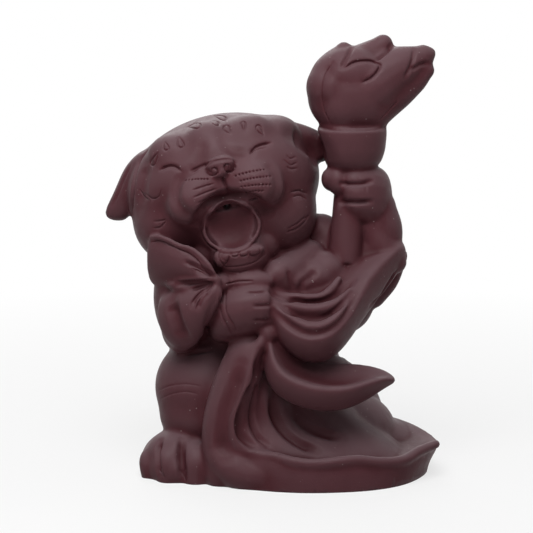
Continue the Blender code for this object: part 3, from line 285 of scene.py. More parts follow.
def turned(clay, profile, x, y):
    """Turns a profile of (radius, height) pairs about an upright axis."""
    mesh = bpy.data.meshes.new("turned")
    edges = [(i, i + 1) for i in range(len(profile) - 1)]
    mesh.from_pydata([(radius, 0, height) for radius, height in profile], edges, [])
    obj = placed("turned", mesh)
    obj.matrix_world = Matrix.Translation((x, y, 0))
    screw = obj.modifiers.new("turn", "SCREW")
    screw.steps = screw.render_steps = 48
    screw.use_merge_vertices = True
    screw.merge_threshold = 0.0001
    take(clay, obj)


def trough(clay, sections):
    """A scoop of draped cloth. Each section names its front rim, its floor, its back rim and
    its underside; the walls between them are bowed."""
    rings = []
    for front, floor, back, under in sections:
        front, floor, back, under = map(Vector, (front, floor, back, under))
        middle = (front + floor + back + under) / 4

        def bowed(a, b, amount):
            return (a + b) / 2 + ((a + b) / 2 - middle) * amount

        rings.append([front, bowed(front, floor, -0.10), floor, bowed(floor, back, -0.10),
                      back, bowed(back, under, 0.35), under, bowed(under, front, 0.35)])
    cage(clay, rings)


def fused(clay, name, blend):
    """Fuses what overlaps in the clay into one skin, softened over the blend distance."""
    obj = placed(name, mesh_of(clay, name))
    one_skin(obj, GRAIN)
    softened(obj, max(1, round(2 * (blend / GRAIN) ** 2)))
    return evaluated(obj)


def clay_of(mesh):
    clay = bmesh.new()
    clay.from_mesh(mesh)
    bpy.data.meshes.remove(mesh)
    return clay


def body(clay):
    """Rump, haunch, back and raised shoulder."""
    balls(clay, [
        ((6.6, 15, 12.2), (36.5, 29, 29)),
        ((-25.8, -10, 30.8), (18.5, 20, 18.5)),
        ((-26.2, -12, 22), (16.5, 18, 16)),
        ((-24.3, -8, 37.2), (16, 18, 15)),
        ((-12.5, 2, 23.6), (27, 28, 25)),
        ((-4.2, 8, 34), (30, 25, 29)),
        ((-14, 3, 51.6), (26, 24, 40)),
        ((6.4, 3, 59.2), (23, 20, 26)),
        ((22.5, -1, 61.8), (12, 12, 13.5)),
    ])


def tail(clay):
    """The tail, which curls up over the rump behind."""
    coils(clay, [
        ([(2, 40.5, 8), (13, 39.5, 15.5), (18, 37, 26.5), (10, 35.5, 36.5), (-1, 33.5, 41),
         (-8, 30, 48)], [5.4, 5.4, 5.2, 4.8, 4.4, 3.6]),
    ])


def head(clay):
    """Skull with low cheeks, forehead mounds, bridge of the nose and whisker pads."""
    head_ball(clay, 0, 0, 0, (HEAD_HALF_WIDTH, HEAD_HALF_DEPTH, HEAD_HALF_HEIGHT))
    head_balls(clay, [
        (-20, -9, 5, (16, 19, 16.5)),
        (16, -13, 5, (16.5, 19, 17.5)),
        (0, -18, 9, (16.5, 19, 14)),
        (20, 13.5, 0, (12.5, 19, 8.5)),
        (-12.5, 12, 14.5, (13, 10.5, 10), -25),
        (10.5, 12.5, 14.5, (13, 10.5, 10), 25),
        (0, 8.5, 22, (10, 8.5, 10)),
        (-2, 13, 17.5, (9.5, 10, 11)),
        (-8.5, -1.2, 25.5, (11.8, 9.2, 8.4), 10),
        (10.7, -1.2, 25.5, (11.6, 9.2, 8.4), -12),
        (-10.5, -4, 26.2, (11.2, 9.6, 8.2), 16),
        (11, -4.2, 26.2, (11.2, 9.6, 8), -16),
    ])


def masses():
    clay = bmesh.new()
    body(clay)
    head(clay)
    return fused(clay, "masses", MASS_BLEND)


def ears(clay):
    """Two folded ears: the near one droops, the far one points out behind the torch."""
    cage(clay, mm([
        [(-44.6, -10, 119.4), (-46.9, -8, 120.6), (-47.5, 4, 119), (-46.2, 8, 117.8)],
        [(-49.5, -9, 113.7), (-54.8, -6, 114.1), (-55.8, 4, 113), (-50.8, 10, 111.5)],
        [(-51.4, -9, 104.4), (-58.6, -5, 104.3), (-59.5, 3, 102.9), (-52.4, 10, 101.3)],
        [(-52.2, -8, 98), (-62.1, -4, 98.2), (-62.8, 1, 97.5), (-53.9, 8, 95.5)],
        [(-52.3, -7, 91.5), (-64.5, -3, 92.4), (-64.8, 1, 91.5), (-53.8, 6, 89.6)],
    ]))
    cage(clay, mm([
        [(1.8, -3, 131.3), (4.8, -7, 113.1), (4.9, 10, 111.1), (1.9, 12, 129.8)],
        [(10.7, -3, 129.4), (11.8, -5, 111.8), (12.1, 9, 110.1), (10.9, 12, 128)],
        [(17.8, -1, 125.9), (18.2, -2, 113.3), (18.4, 8, 112.1), (18.1, 11, 124.7)],
        [(24.2, 2, 121.1), (24.2, 2, 115.1), (24.4, 8, 114.4), (24.4, 9, 120.3)],
    ]))


def foot(clay):
    """The foot that stands at the viewer's left, with its toes."""
    balls(clay, [
        ((-34.7, -16, 3.9), (14.6, 21.5, 11.2)),
        ((-34.8, -22, 8), (12.2, 13, 9.2)),
    ])
    coils(clay, [
        ([(-44.2, -19, 6.9), (-45.8, -25, 5.7), (-45.1, -26, 0.2)], [3.4, 3.8, 3.6]),
        ([(-38.1, -24, 10), (-38.5, -31, 7.5), (-38.2, -32, 1.3)], [4.2, 5, 4.6]),
        ([(-28.8, -26, 10.8), (-28.2, -33, 8), (-28.2, -34, 1.5)], [4.4, 5.2, 5]),
    ])


def cuff(clay):
    """The wide cuff of the low arm, gathered at the wrist into two lobes."""
    cloth(clay, mm([
        [(-17.7, -38, 75.1), (-22.7, -37, 79.4), (-27.1, -34, 84.7), (-33, -31, 87.2),
         (-39.6, -27, 89.5), (-45.7, -22, 89.9)],
        [(-18.1, -39, 74.6), (-23.8, -38, 78.8), (-28.9, -36, 81.7), (-34.4, -33, 83.1),
         (-40, -29, 83.6), (-46.1, -22, 83.2)],
        [(-18.1, -39, 74.2), (-24.6, -37, 76.1), (-30, -35, 77.2), (-35.6, -31, 77.3),
         (-40.4, -27, 77.4), (-46.3, -20, 76.3)],
        [(-17.7, -37, 73.5), (-25, -33, 72.9), (-30.2, -29, 71.5), (-35.1, -25, 70.4),
         (-39.7, -21, 69.4), (-45, -16, 70.4)],
    ]), 0.0044)
    cloth(clay, mm([
        [(-18.1, -37, 73.5), (-24.6, -34, 72.3), (-30.2, -31, 71.1), (-35, -27, 69.6),
         (-39.6, -22, 68.1)],
        [(-18.4, -39, 73.5), (-25.3, -38, 70.4), (-31.1, -36, 68.2), (-37, -32, 66.1),
         (-42.5, -24, 62.8)],
        [(-18.4, -40, 73.3), (-24.2, -40, 67.8), (-30, -38, 64.2), (-35.9, -34, 60.5),
         (-42.1, -25, 56.7)],
        [(-18.4, -40, 72.9), (-22.7, -40, 66.4), (-26.7, -39, 60.4), (-31.6, -35, 54.5),
         (-39.2, -27, 50.4)],
        [(-17.7, -38, 72.2), (-21, -37, 65.8), (-23.6, -35, 59.6), (-25.9, -31, 52.2),
         (-31.9, -25, 45.9)],
    ]), 0.0046)
    balls(clay, [
        ((-31.8, -14, 65.6), (12.5, 15, 20)),
        ((-36.5, -16, 78.6), (9.2, 11, 8)),
        ((-33.6, -18, 55), (7.8, 13, 10)),
        ((-24.9, -26, 66.1), (8, 11, 9)),
        ((-18.5, -32, 73.4), (4, 6, 3.5)),
        ((-29.2, -27, 72.2), (10, 8.5, 2.8)),
    ])


def low_paw(clay):
    """The low arm's paw, which holds the gathered cloth against the chest."""
    cage(clay, mm([
        [(-24.3, -34, 68.3), (-24.4, -33, 51.9), (-24.9, -12, 47.9), (-24.9, -12, 64.5)],
        [(-17.6, -43, 75.2), (-17.7, -42, 51.8), (-18.3, -10, 45.6), (-18.2, -10, 69.8)],
        [(-8.3, -45, 77.4), (-8.3, -44, 54), (-8.6, -10, 47.5), (-8.6, -10, 71.7)],
        [(-1.9, -43, 76.7), (-1.9, -42, 54.3), (-1.9, -10, 48.3), (-1.9, -10, 71.3)],
        [(-0.1, -41, 75.6), (-0.1, -40, 54.7), (0, -12, 49.4), (0, -12, 70.9)],
    ]))


def raised_sleeve(clay):
    """The wide sleeve of the raised arm, which hangs as a deep scoop."""
    trough(clay, mm([
        ((-2.6, -34, 71.2), (-1.9, -31, 72.2), (-1.2, -26, 73.5), (-2.6, -29, 65.9)),
        ((-0.8, -39, 66.2), (1, -34, 68.3), (3.2, -23, 72.7), (-1.9, -31, 56.7)),
        ((2.8, -43, 61.1), (5, -36, 65.3), (9.1, -21, 73.8), (2.1, -32, 50.2)),
        ((8.1, -46, 57.3), (10, -38, 62.4), (13.1, -20, 75.2), (8.3, -32, 43.9)),
        ((13.8, -47, 56), (14.7, -38, 61.3), (17.2, -18, 76.7), (15.6, -30, 40.9)),
        ((19.5, -46, 56.9), (19.7, -38, 62.4), (22, -16, 78.6), (23, -28, 43.5)),
        ((24.3, -42, 59.8), (24.1, -34, 65.3), (26.9, -14, 80.5), (29.2, -25, 50.7)),
        ((28, -38, 64.6), (27.9, -30, 69.8), (31.7, -12, 82.8), (34.1, -21, 57.8)),
        ((31.7, -33, 70.7), (32, -25, 75.6), (36.3, -9, 84.6), (39.5, -15, 63.1)),
        ((37.8, -25, 77.4), (38.1, -19, 80.9), (42, -6, 86.1), (45.6, -10, 69.4)),
        ((44.8, -17, 82.9), (44.6, -13, 84.1), (45.8, -5, 86.7), (49.5, -7, 76.5)),
        ((48.4, -12, 84.7), (48.1, -10, 85.2), (47.9, -7, 85.8), (50.5, -7, 81)),
    ]))
    coils(clay, [
        ([(47.1, -2, 78.7), (42.3, -2, 69.6), (37.1, -3, 64.1)], [3.4, 4.8, 5.2]),
        ([(-3.3, -29, 74.4), (1, -27, 75.5), (6.9, -20, 76.6), (12.9, -12, 80.2)], [2.6, 5.5, 6.6,
         6.2]),
    ])
    balls(clay, [
        ((2.1, -25, 73.7), (6.8, 6.2, 6.2)),
        ((6.9, -20, 72.6), (10, 9.5, 6.5)),
        ((14.3, -17, 73.2), (10, 9.5, 7.8)),
        ((18.8, -15, 74.7), (8.5, 8.5, 8)),
        ((22.8, -3, 80.4), (13, 9, 12)),
        ((16.9, 0, 80.7), (10, 8.5, 10)),
        ((17.5, -2, 87), (8.5, 7, 7.8)),
    ])


def raised_arm(clay):
    """Forearm behind the torch's handle."""
    coil(clay, [(0.0252, 0.0000, 0.0617), (0.0340, -0.0040, 0.0760), on_torch(0.0103, -0.0259, 0.0010),
                on_torch(0.0087, -0.0154, 0.0010)], [0.0130, 0.0110, 0.0090, 0.0080])
    coil(clay, [on_torch(0.0075, -0.0218, -0.0020), (0.0411, -0.0090, 0.0820),
                (0.0453, -0.0080, 0.0774)], [0.0060, 0.0062, 0.0045])


def train(clay):
    """The dish of the robe's hem, which spreads over the floor."""
    rim = mm([
        (-19.7, -38, 12.9), (-12.7, -43, 14.8), (-4.1, -46, 13), (4.9, -48, 11.6), (14.6, -50, 11.4),
        (24.3, -49, 12.2), (34.1, -46, 11.9), (44.4, -42, 10.5), (52.1, -35, 11.8), (58.8, -27, 12.9),
        (64.3, -17, 12.5), (59.2, -4, 14.1), (52, 8, 15.7), (43.4, 20, 15), (26.4, 32, 14.4),
        (6.8, 36, 13.5), (-12.8, 30, 10.8), (-24.9, 12, 8.9), (-25, -14, 9.1)
    ])
    foot = mm([
        (-21.2, -37, 0.3), (-14.2, -43, 0.4), (-5.5, -47, 0.3), (3.8, -50, 0.7), (13.9, -51, 0.9),
        (24, -50, 1), (34.1, -48, 0.9), (43, -43, 1.1), (49.1, -37, 1.8), (54.1, -28, 2.2),
        (58.6, -16, 2.7), (55.5, 0, 1.5), (49.7, 12, 0.2), (42.6, 24, -1), (26.5, 34, -0.2),
        (6.9, 38, -1.1), (-12.9, 32, -3.7), (-25.8, 14, -3.4), (-26.2, -14, -2)
    ])
    heart = Vector((0.0139, -0.0100, 0.0147))
    rim = [Vector(point) for point in rim]
    foot = [Vector(point) for point in foot]
    buried, bulge, inner_drop, slope_drop = mm((12, 0.8, 3.5, 4))
    below = [point - Vector((0, 0, buried)) for point in foot]
    wall = [a.lerp(b, 0.5) + (b - heart).normalized() * bulge for a, b in zip(rim, foot)]
    inner = [point.lerp(heart, 0.09) - Vector((0, 0, inner_drop)) for point in rim]
    slope = [point.lerp(heart, 0.35) - Vector((0, 0, slope_drop)) for point in rim]
    middle = [point.lerp(heart, 0.80) for point in rim]
    cage(clay, [below, foot, wall, rim, inner, slope, middle])


def train_folds(clay):
    """Cloth that falls from the low paw, and fans out into the dish in deep folds."""
    ridges = mm([
        [(-16.1, -29, 49.6), (-17.9, -32, 39.8), (-21.2, -33, 29.6), (-23.8, -33, 19.9),
         (-23.8, -33, 11.7), (-22.4, -33, -0.3)],
        [(-11.6, -37, 52.7), (-14.2, -39, 42), (-18.2, -40, 31.2), (-20.7, -40, 21.5), (-20, -40, 12.6),
         (-17.2, -39, 0.5)],
        [(-4.8, -39, 54.5), (-8.4, -42, 43.4), (-12.3, -43, 32.5), (-15.6, -43, 24.4),
         (-14.2, -43, 17.4), (-8.4, -43, 11.9)],
        [(-3.7, -31, 50.4), (-5.9, -32, 40.6), (-8.4, -34, 32.1), (-9.9, -36, 25.1), (-8.4, -38, 18.9),
         (-3.3, -42, 10.5)],
        [(-2.6, -28, 48.7), (-3.4, -28, 39), (-3.7, -30, 31.2), (-3.7, -32, 24.2), (-1.2, -35, 18.2),
         (5, -42, 9)],
        [(-1.5, -25, 47.4), (-0.4, -26, 37.1), (2.1, -27, 28.3), (7.3, -29, 20.5), (14.5, -33, 15.5),
         (22.7, -42, 8.3)],
        [(-0.4, -23, 47), (3.6, -24, 36.7), (9.1, -25, 27.9), (16.5, -27, 21.6), (24.5, -31, 15.7),
         (32.9, -40, 7.8)],
        [(1.8, -16, 45.6), (8.5, -18, 36.2), (16.6, -21, 27.8), (25.4, -23, 21.4), (33.4, -27, 14.8),
         (41.9, -36, 6.8)],
        [(4.1, -9, 43.5), (14.5, -11, 33.6), (25, -13, 24.9), (33.1, -16, 17.6), (41.1, -20, 11.3),
         (48, -30, 5)],
        [(7.2, 3, 39.6), (20.9, 3, 28.4), (31.9, 1, 19.2), (41.2, -3, 10.8), (48.5, -8, 5.8),
         (55.6, -16, 0.8)],
    ])
    valleys = mm([0, 0, 4.6, 2.4, 2.2, 1.6, 0.8, 0, 0])
    columns = [[Vector(point) for point in ridges[0]]]
    for near, far, depth in zip(ridges, ridges[1:], valleys):
        near = [Vector(point) for point in near]
        far = [Vector(point) for point in far]
        back = [0.5, 1, 1, 1, 0.8, 0.3]
        if depth:
            columns.append([a.lerp(b, 0.5) + Vector((0, depth * share, -depth * share * 0.4))
                            for a, b, share in zip(near, far, back)])
        columns.append(far)
    cloth(clay, columns, 0.0056)
    coils(clay, [
        ([(-8.4, -30, 48.3), (-13.5, -33, 36), (-17.9, -35, 21.5), (-18.7, -36, 4.2)], [8, 8.5, 8, 7]),
    ])
    balls(clay, [
        ((4.5, -8, 26.9), (20, 16, 28)),
        ((-1.9, -22, 16.7), (18, 12, 15)),
        ((23.6, 2, 12), (23, 26, 15)),
        ((37.8, 4, 6.8), (17, 22, 9)),
    ])
    coils(clay, [
        ([(-4.1, -38, 53.6), (-8.4, -41, 43.2), (-12, -42, 32.3), (-15.3, -42, 24.6),
         (-14.5, -42, 18.7), (-11.7, -42, 15), (-6.2, -43, 12.6), (0.6, -45, 12), (7.8, -48, 10.9),
         (15, -49, 10.4), (22.2, -49, 11.1), (29.8, -47, 11.4), (38.5, -44, 9.9), (47.1, -39, 9.4),
         (53.3, -33, 11.3), (60.1, -25, 12.1)], [2, 2.4, 2.4, 2.4, 2.4, 2.4, 2.2, 2, 2, 2, 2, 2, 2, 2,
         2, 1.8]),
        ([(-4.1, -31, 47.8), (-6.3, -33, 40), (-8.8, -35, 31.6), (-9.9, -36, 25.1), (-8.4, -37, 18.6),
         (-4.8, -37, 13.4)], [1.8, 2.4, 2.7, 2.8, 2.6, 1.4]),
        ([(-2.6, -27, 43.3), (-3.4, -29, 37), (-3.7, -31, 30), (-2.6, -32, 23.5), (0.3, -34, 17.9),
         (5.4, -35, 12.9)], [1.6, 2.4, 2.9, 3, 2.7, 1.4]),
        ([(-0.1, -26, 34.9), (2.9, -28, 27.4), (7.3, -30, 20.8), (14.2, -32, 16), (23.7, -32, 13)],
         [1.8, 2.8, 3.2, 3, 1.6]),
        ([(-18.7, -34, 17.2), (-17.2, -37, 10.4), (-12.1, -40, 5.9), (-4.1, -42, 4.2)], [7.5, 8, 7.5,
         6]),
    ])


def flap(clay):
    """The leaf-shaped end of the sleeve cloth, a second scoop under the first."""
    trough(clay, mm([
        ((-1.5, -38, 55.8), (-1.2, -37, 55.6), (-0.4, -34, 56.9), (-3, -34, 51)),
        ((-0.8, -43, 49.8), (1, -39, 49), (2.8, -34, 53.9), (-4.4, -35, 44.2)),
        ((1.7, -47, 44.7), (4.6, -39, 43.1), (6.5, -31, 50), (-3.3, -37, 35.7)),
        ((7.4, -50, 41.3), (10.8, -38, 39.2), (12.4, -28, 46.5), (2.8, -38, 29.2)),
        ((16.6, -51, 39), (18.7, -38, 36.6), (20.1, -26, 46.1), (15.9, -38, 24.4)),
        ((26.3, -49, 38.2), (27.4, -37, 36.8), (28.5, -25, 45.5), (27.9, -35, 25.2)),
        ((34, -44, 39.7), (34.8, -35, 38.6), (36.2, -26, 43.8), (36.8, -32, 30.2)),
        ((40.1, -38, 40), (40.7, -33, 39.7), (41.7, -27, 41.1), (42.4, -29, 34)),
        ((44.7, -33, 38.2), (44.8, -31, 38.1), (44.9, -29, 38.1), (45.6, -29, 35.9)),
    ]))
    coils(clay, [
        ([(1.8, -28, 49.8), (9.9, -24, 43.1), (20.3, -20, 40.4), (24.9, -14, 39.2)], [5, 5, 5, 3.5]),
    ])


def cup(clay):
    """The cup of the torch, turned about the handle's axis."""
    height = CUP_RIM - CUP_FOOT
    turned(clay, [
        (0, CUP_FOOT - 0.0015),
        (0.0060, CUP_FOOT - 0.0015),
        (CUP_FOOT_RADIUS, CUP_FOOT + 0.0003),
        (0.0112, CUP_FOOT + 0.18 * height),
        (CUP_WAIST_RADIUS, CUP_FOOT + 0.45 * height),
        (CUP_RIM_RADIUS, CUP_FOOT + 0.80 * height),
        (CUP_RIM_RADIUS, CUP_RIM),
        (0.0120, CUP_RIM + 0.0008),
        (0, CUP_RIM + 0.0008),
    ], TORCH_X, TORCH_Y)


def flame(clay):
    """Tongues of flame that lean to the viewer's right."""
    for centre, radii in mm([
        ((-0.5, 11.8, 0), (16, 12, 14.5)),
        ((-5.3, 14.4, 0), (11.3, 10.5, 14.5)),
        ((-0.9, 19.9, 0), (13, 11, 10.5)),
    ]):
        ball(clay, in_flame(*centre), radii)
    for points, radii in mm([
        ([(-2.7, 9.2, 0), (8.4, 16.5, 1), (18.3, 22.4, 2), (26.1, 26.3, 3)], [12, 11.8, 8.5, 4.4]),
        ([(17.6, 19.8, 2), (23.9, 23.8, 3), (28.7, 27.4, 3)], [6, 4.5, 2.4]),
        ([(7.3, 7.8, 0), (16.9, 13.6, 1), (23.5, 17.9, 2), (27.6, 21.2, 2)], [8.5, 6.6, 4.8, 3]),
        ([(-7.1, 15.2, -1), (-6.8, 22.5, 0), (-3.1, 29, 1)], [10, 6.4, 3]),
        ([(-2.7, 17.3, 1), (4.7, 24.1, 3), (11.4, 30.7, 4)], [10.5, 7.8, 3.8]),
    ]):
        coil(clay, [in_flame(*point) for point in points], radii)


def forms(mesh):
    clay = clay_of(mesh)
    ears(clay)
    foot(clay)
    tail(clay)
    train(clay)
    train_folds(clay)
    cuff(clay)
    raised_sleeve(clay)
    raised_arm(clay)
    flap(clay)
    low_paw(clay)
    cup(clay)
    flame(clay)
    return fused(clay, "forms", FORM_BLEND)


def nose_and_jaw(clay):
    """Nose, jaw, lower teeth and the rim round the mouth, with clay that fills gaps below."""
    head_balls(clay, [
        (1, 6.4, 30.8, (5.4, 3.8, 3.1)),
        (0.2, 3.6, 31.8, (3.6, 3, 2.2)),
        (0.2, -27, 16.8, (12, 13.6, 9.6)),
        (-10, -24.6, 12, (7.6, 10.5, 8.6)),
        (9.2, -24.4, 12.8, (7.2, 11, 7.6)),
        (0.2, -26.6, 26.4, (9.8, 4.6, 2.7)),
        (-6.8, -26.8, 28.4, (2.2, 2.2, 3)),
    ])
    balls(clay, [
        ((-25.3, -20, 77), (6.5, 8, 6.5)),
        ((-9.1, -31, 74), (9.5, 5, 4.2)),
        ((-1.9, -36, 55.8), (3.6, 3.6, 3.6)),
        ((2.5, -16, 78.6), (6, 8, 5.5)),
    ])
    ring = []
    outside = MOUTH_RIM * 0.6
    for i in range(RIM_STEPS):
        turn = 2 * math.pi * i / RIM_STEPS
        across = (MOUTH_HALF_WIDTH + outside) * math.cos(turn)
        up = MOUTH_UP + (MOUTH_HALF_HEIGHT + outside) * math.sin(turn)
        ring.append(on_head(across, up, MOUTH_OUT + MOUTH_STAND * math.cos(turn) ** 2))
    coil(clay, ring + ring[:1], [MOUTH_RIM] * (RIM_STEPS + 1))


def stub(clay, low, high, radius_low, radius_high):
    """A tapering round bar with flat ends."""
    low = Vector(low)
    run = Vector(high) - low
    shape = bmesh.new()
    matrix = Matrix.Translation(low + run / 2) @ run.to_track_quat("Z", "Y").to_matrix().to_4x4()
    bmesh.ops.create_cone(shape, cap_ends=True, segments=40, radius1=radius_low,
                          radius2=radius_high, depth=run.length, matrix=matrix)
    add(clay, shape)


def raised_paw(clay):
    """The handle, and the paw that is closed round it."""
    stub(clay, on_torch(-0.0027, -HANDLE_LENGTH - 0.0026, -0.0070), on_torch(0, 0.002, 0),
         HANDLE_RADIUS, 0.9 * HANDLE_RADIUS)
    rings = mm([
        [(-4.3, 0.6, -8), (-4.2, -16.8, -8), (-3.9, -18.2, 2), (-4, -0.6, 2)],
        [(-2.2, 3, -13), (-2.1, -19.5, -13), (-1.4, -22.4, 8), (-1.5, 0.6, 8)],
        [(4.3, 3.8, -14), (4.5, -22.8, -13), (5.5, -26.4, 12), (5.3, 0.9, 12)],
        [(11.4, 2.6, -10), (12.4, -24.1, -9), (13.4, -27.2, 12), (12.5, 0.1, 12)],
        [(15.2, -5, -2), (15.7, -19.7, -1), (16.3, -21.2, 10), (15.8, -6.4, 10)],
    ])
    cage(clay, [[on_torch(*place) for place in ring] for ring in rings])
    ball(clay, on_torch(-0.0074, -0.0041, -0.0030), (0.0040, 0.0046, 0.0046))
    ball(clay, on_torch(-0.0053, -0.0046, -0.0050), (0.0040, 0.0044, 0.0052))
    coil(clay, [on_torch(-0.0070, -0.0041, -0.0030), on_torch(-0.0032, -0.0042, 0.0010),
                on_torch(0.0025, -0.0071, 0.0060)], [0.0034, 0.0045, 0.0060])


def hollows():
    """What is cut out: the mouth, the cone's seat and the bore between them."""
    hole = bmesh.new()
    head_ball(hole, 0, MOUTH_UP, MOUTH_OUT, (MOUTH_HALF_WIDTH, MOUTH_DEPTH, MOUTH_HALF_HEIGHT))
    head_ball(hole, 0, MOUTH_UP + EXIT_UP, MOUTH_OUT - EXIT_IN, EXIT_RADII)
    seat = bmesh.new()
    floor = Vector(HEAD_CENTRE) + Vector((0, SEAT_BEHIND, SEAT_RISE))
    matrix = Matrix.Translation(floor + Vector((0, 0, SEAT_CUT / 2)))
    bmesh.ops.create_cone(seat, cap_ends=True, segments=40, radius1=SEAT_RADIUS,
                          radius2=SEAT_RADIUS, depth=SEAT_CUT, matrix=matrix)
    add(hole, seat)
    bends = [on_head(*bend) for bend in BORE_BENDS]
    coil(hole, [floor + Vector((0, 0, BORE_START))] + bends, [BORE_RADIUS] * 3 + [BORE_RADIUS / 2])
    cutter = placed("hollows", mesh_of(hole, "hollows"))
    one_skin(cutter, GRAIN / 2)
    return placed("hollows", evaluated(cutter))


def sleeve_rolls(clay):
    """The rolls that the cloth makes where it hangs inside the raised sleeve."""
    coils(clay, [
        ([(-2.6, -31, 71.1), (2.5, -31, 68.5), (8.6, -31, 67.7), (13.3, -31, 67.4), (17.7, -30, 67.9),
         (21, -28, 70.2), (24, -25, 73.7)], [1.2, 1.7, 1.9, 2, 1.9, 1.7, 1.2]),
        ([(-1.9, -34, 69.4), (3.2, -35, 66.6), (8.2, -36, 64.9), (13.6, -36, 64.2), (19, -36, 64.9),
         (23.8, -33, 66.6), (27.9, -29, 70.3)], [1.2, 2, 2.3, 2.4, 2.3, 2, 1.2]),
        ([(-1.2, -36, 67.9), (3.5, -39, 63.3), (8.9, -41, 60), (14.2, -42, 58.7), (19.3, -41, 59.6),
         (23.7, -38, 62.4), (28.2, -31, 67.7)], [1.2, 2, 2.3, 2.4, 2.3, 2, 1.2]),
    ])


def cuff_hem(clay):
    """The bead along the hem of the low cuff's upper lobe."""
    coils(clay, [
        ([(-21.3, -39.5, 78.3), (-23.4, -38.7, 81.4), (-26.3, -36.8, 84.2), (-29.6, -35, 86.3),
         (-34, -33, 87.3), (-38, -30.6, 88.9), (-41.8, -28, 89.7), (-44.5, -25, 88.9)], [0.8, 1, 1, 1,
         1, 1, 1, 0.9]),
    ])


def details(mesh):
    """Adds the small forms, and cuts the hollows."""
    clay = clay_of(mesh)
    nose_and_jaw(clay)
    raised_paw(clay)
    sleeve_rolls(clay)
    cuff_hem(clay)
    mesh = fused(clay, "details", DETAIL_BLEND)
    obj = placed("details", mesh)
    cutter = hollows()
    cut_away(obj, cutter)
    one_skin(obj, GRAIN)
    softened(obj, EDGE_ROUNDS)
    mesh = evaluated(obj)
    bpy.data.objects.remove(cutter)
    return mesh


# Each line is its points as (x, z) on the upright plane through the origin, the half width
# of the groove, and its depth, in millimetres; a negative depth raises a ridge instead
EYES = [
    ([(-42.1, 111), (-40.3, 111.9), (-38, 112.4), (-36.2, 111.9), (-34.3, 110.6)], 1.8, 0.4),
    ([(-8.4, 117), (-7.1, 118.7), (-5.6, 119.8), (-3.4, 120.5), (-0.9, 120.9)], 1.8, 0.4),
]
FACE_CREASES = [
    ([(-26.1, 122), (-26.1, 118.7), (-27.6, 115.3), (-29.4, 112.3), (-31.3, 109.7)], 3.4, 0.6),
    ([(-19.7, 124.3), (-18.6, 121.3), (-16.4, 118.7), (-13, 117.2), (-9, 117.5)], 3.4, 0.8),
    ([(-30.6, 110.8), (-27.6, 112.1), (-24.2, 113.4)], 1.3, 0.8),
    ([(-18.7, 107.8), (-17.9, 105.6), (-16.8, 103.3), (-16.1, 101.8)], 1.1, 0.8),
    ([(-30.9, 110.1), (-34.3, 108.2), (-36.6, 103.7), (-36.2, 98.4), (-32.9, 94.3), (-28.8, 92.4)], 4,
     1.5),
    ([(-3.4, 113.8), (0, 111.2), (1.9, 106.7), (1.1, 101.4), (-2.3, 97.3)], 4.2, 1),
    ([(-28, 91.2), (-26.2, 95), (-23.2, 97.7), (-19.4, 99.5), (-14.9, 100.3), (-10.1, 99.9),
     (-5.6, 98.2), (-2.6, 95.4)], 4.4, 4),
]
NOSE = [
    ([(-24.6, 111.2), (-23.5, 109.7), (-21.3, 109.3), (-20.1, 110.4), (-21.3, 111.7)], 1, 0.4),
    ([(-14.5, 111.6), (-15.7, 110.2), (-17.2, 110.8), (-17.9, 112.7)], 1, 0.4),
    ([(-24.6, 112.3), (-22.4, 113.8), (-19, 114.6), (-16, 114.6)], 1.1, 0.5),
]
EAR_FOLDS = [
    ([(7.8, 123.2), (11.5, 120.5), (15.2, 118.3), (19, 117.2)], 7.8, 2.6),
    ([(-47.3, 117.5), (-49.5, 114.6), (-51.1, 110.4), (-52.2, 104.8), (-52.7, 99.2), (-53.1, 93.9)], 2,
     1.7),
    ([(-47.3, 112.3), (-48.9, 105.9), (-49.7, 98)], 5, 1.2),
    ([(-52.9, 113.1), (-55.6, 107.8), (-57.9, 102.2), (-60.1, 97.3)], 1.3, 0.6),
]
CUFF_FOLDS = [
    ([(-22.1, 70.8), (-25.9, 73.1), (-29.6, 74.8), (-33, 76.1)], 1.5, 1.1),
    ([(-22.5, 70), (-26.3, 71.6), (-30, 73.1)], 1.5, 0.9),
    ([(-22.1, 69.3), (-27.4, 69.8), (-31.9, 69.8), (-36.4, 69.3)], 1.4, -0.7),
    ([(-22.5, 68.7), (-28.2, 68.7), (-33.4, 68.1), (-38.7, 66.2)], 1.6, 0.6),
    ([(-22.5, 68.1), (-26.3, 67), (-30.4, 65.5)], 1.5, 1),
    ([(-23.3, 67), (-26.7, 64.7), (-29.3, 62), (-30.4, 59)], 1.5, 1.1),
    ([(-24.4, 64.7), (-26.7, 62), (-28.2, 58.2)], 1.5, 0.9),
    ([(-38.3, 60.5), (-37.6, 56.7), (-36.1, 51.7), (-33.5, 46.4)], 4.6, 2.6),
    ([(-19.1, 67.7), (-21, 63.6), (-23.3, 58.2), (-25.2, 52.1), (-27.1, 46)], 2.2, 0.6),
]
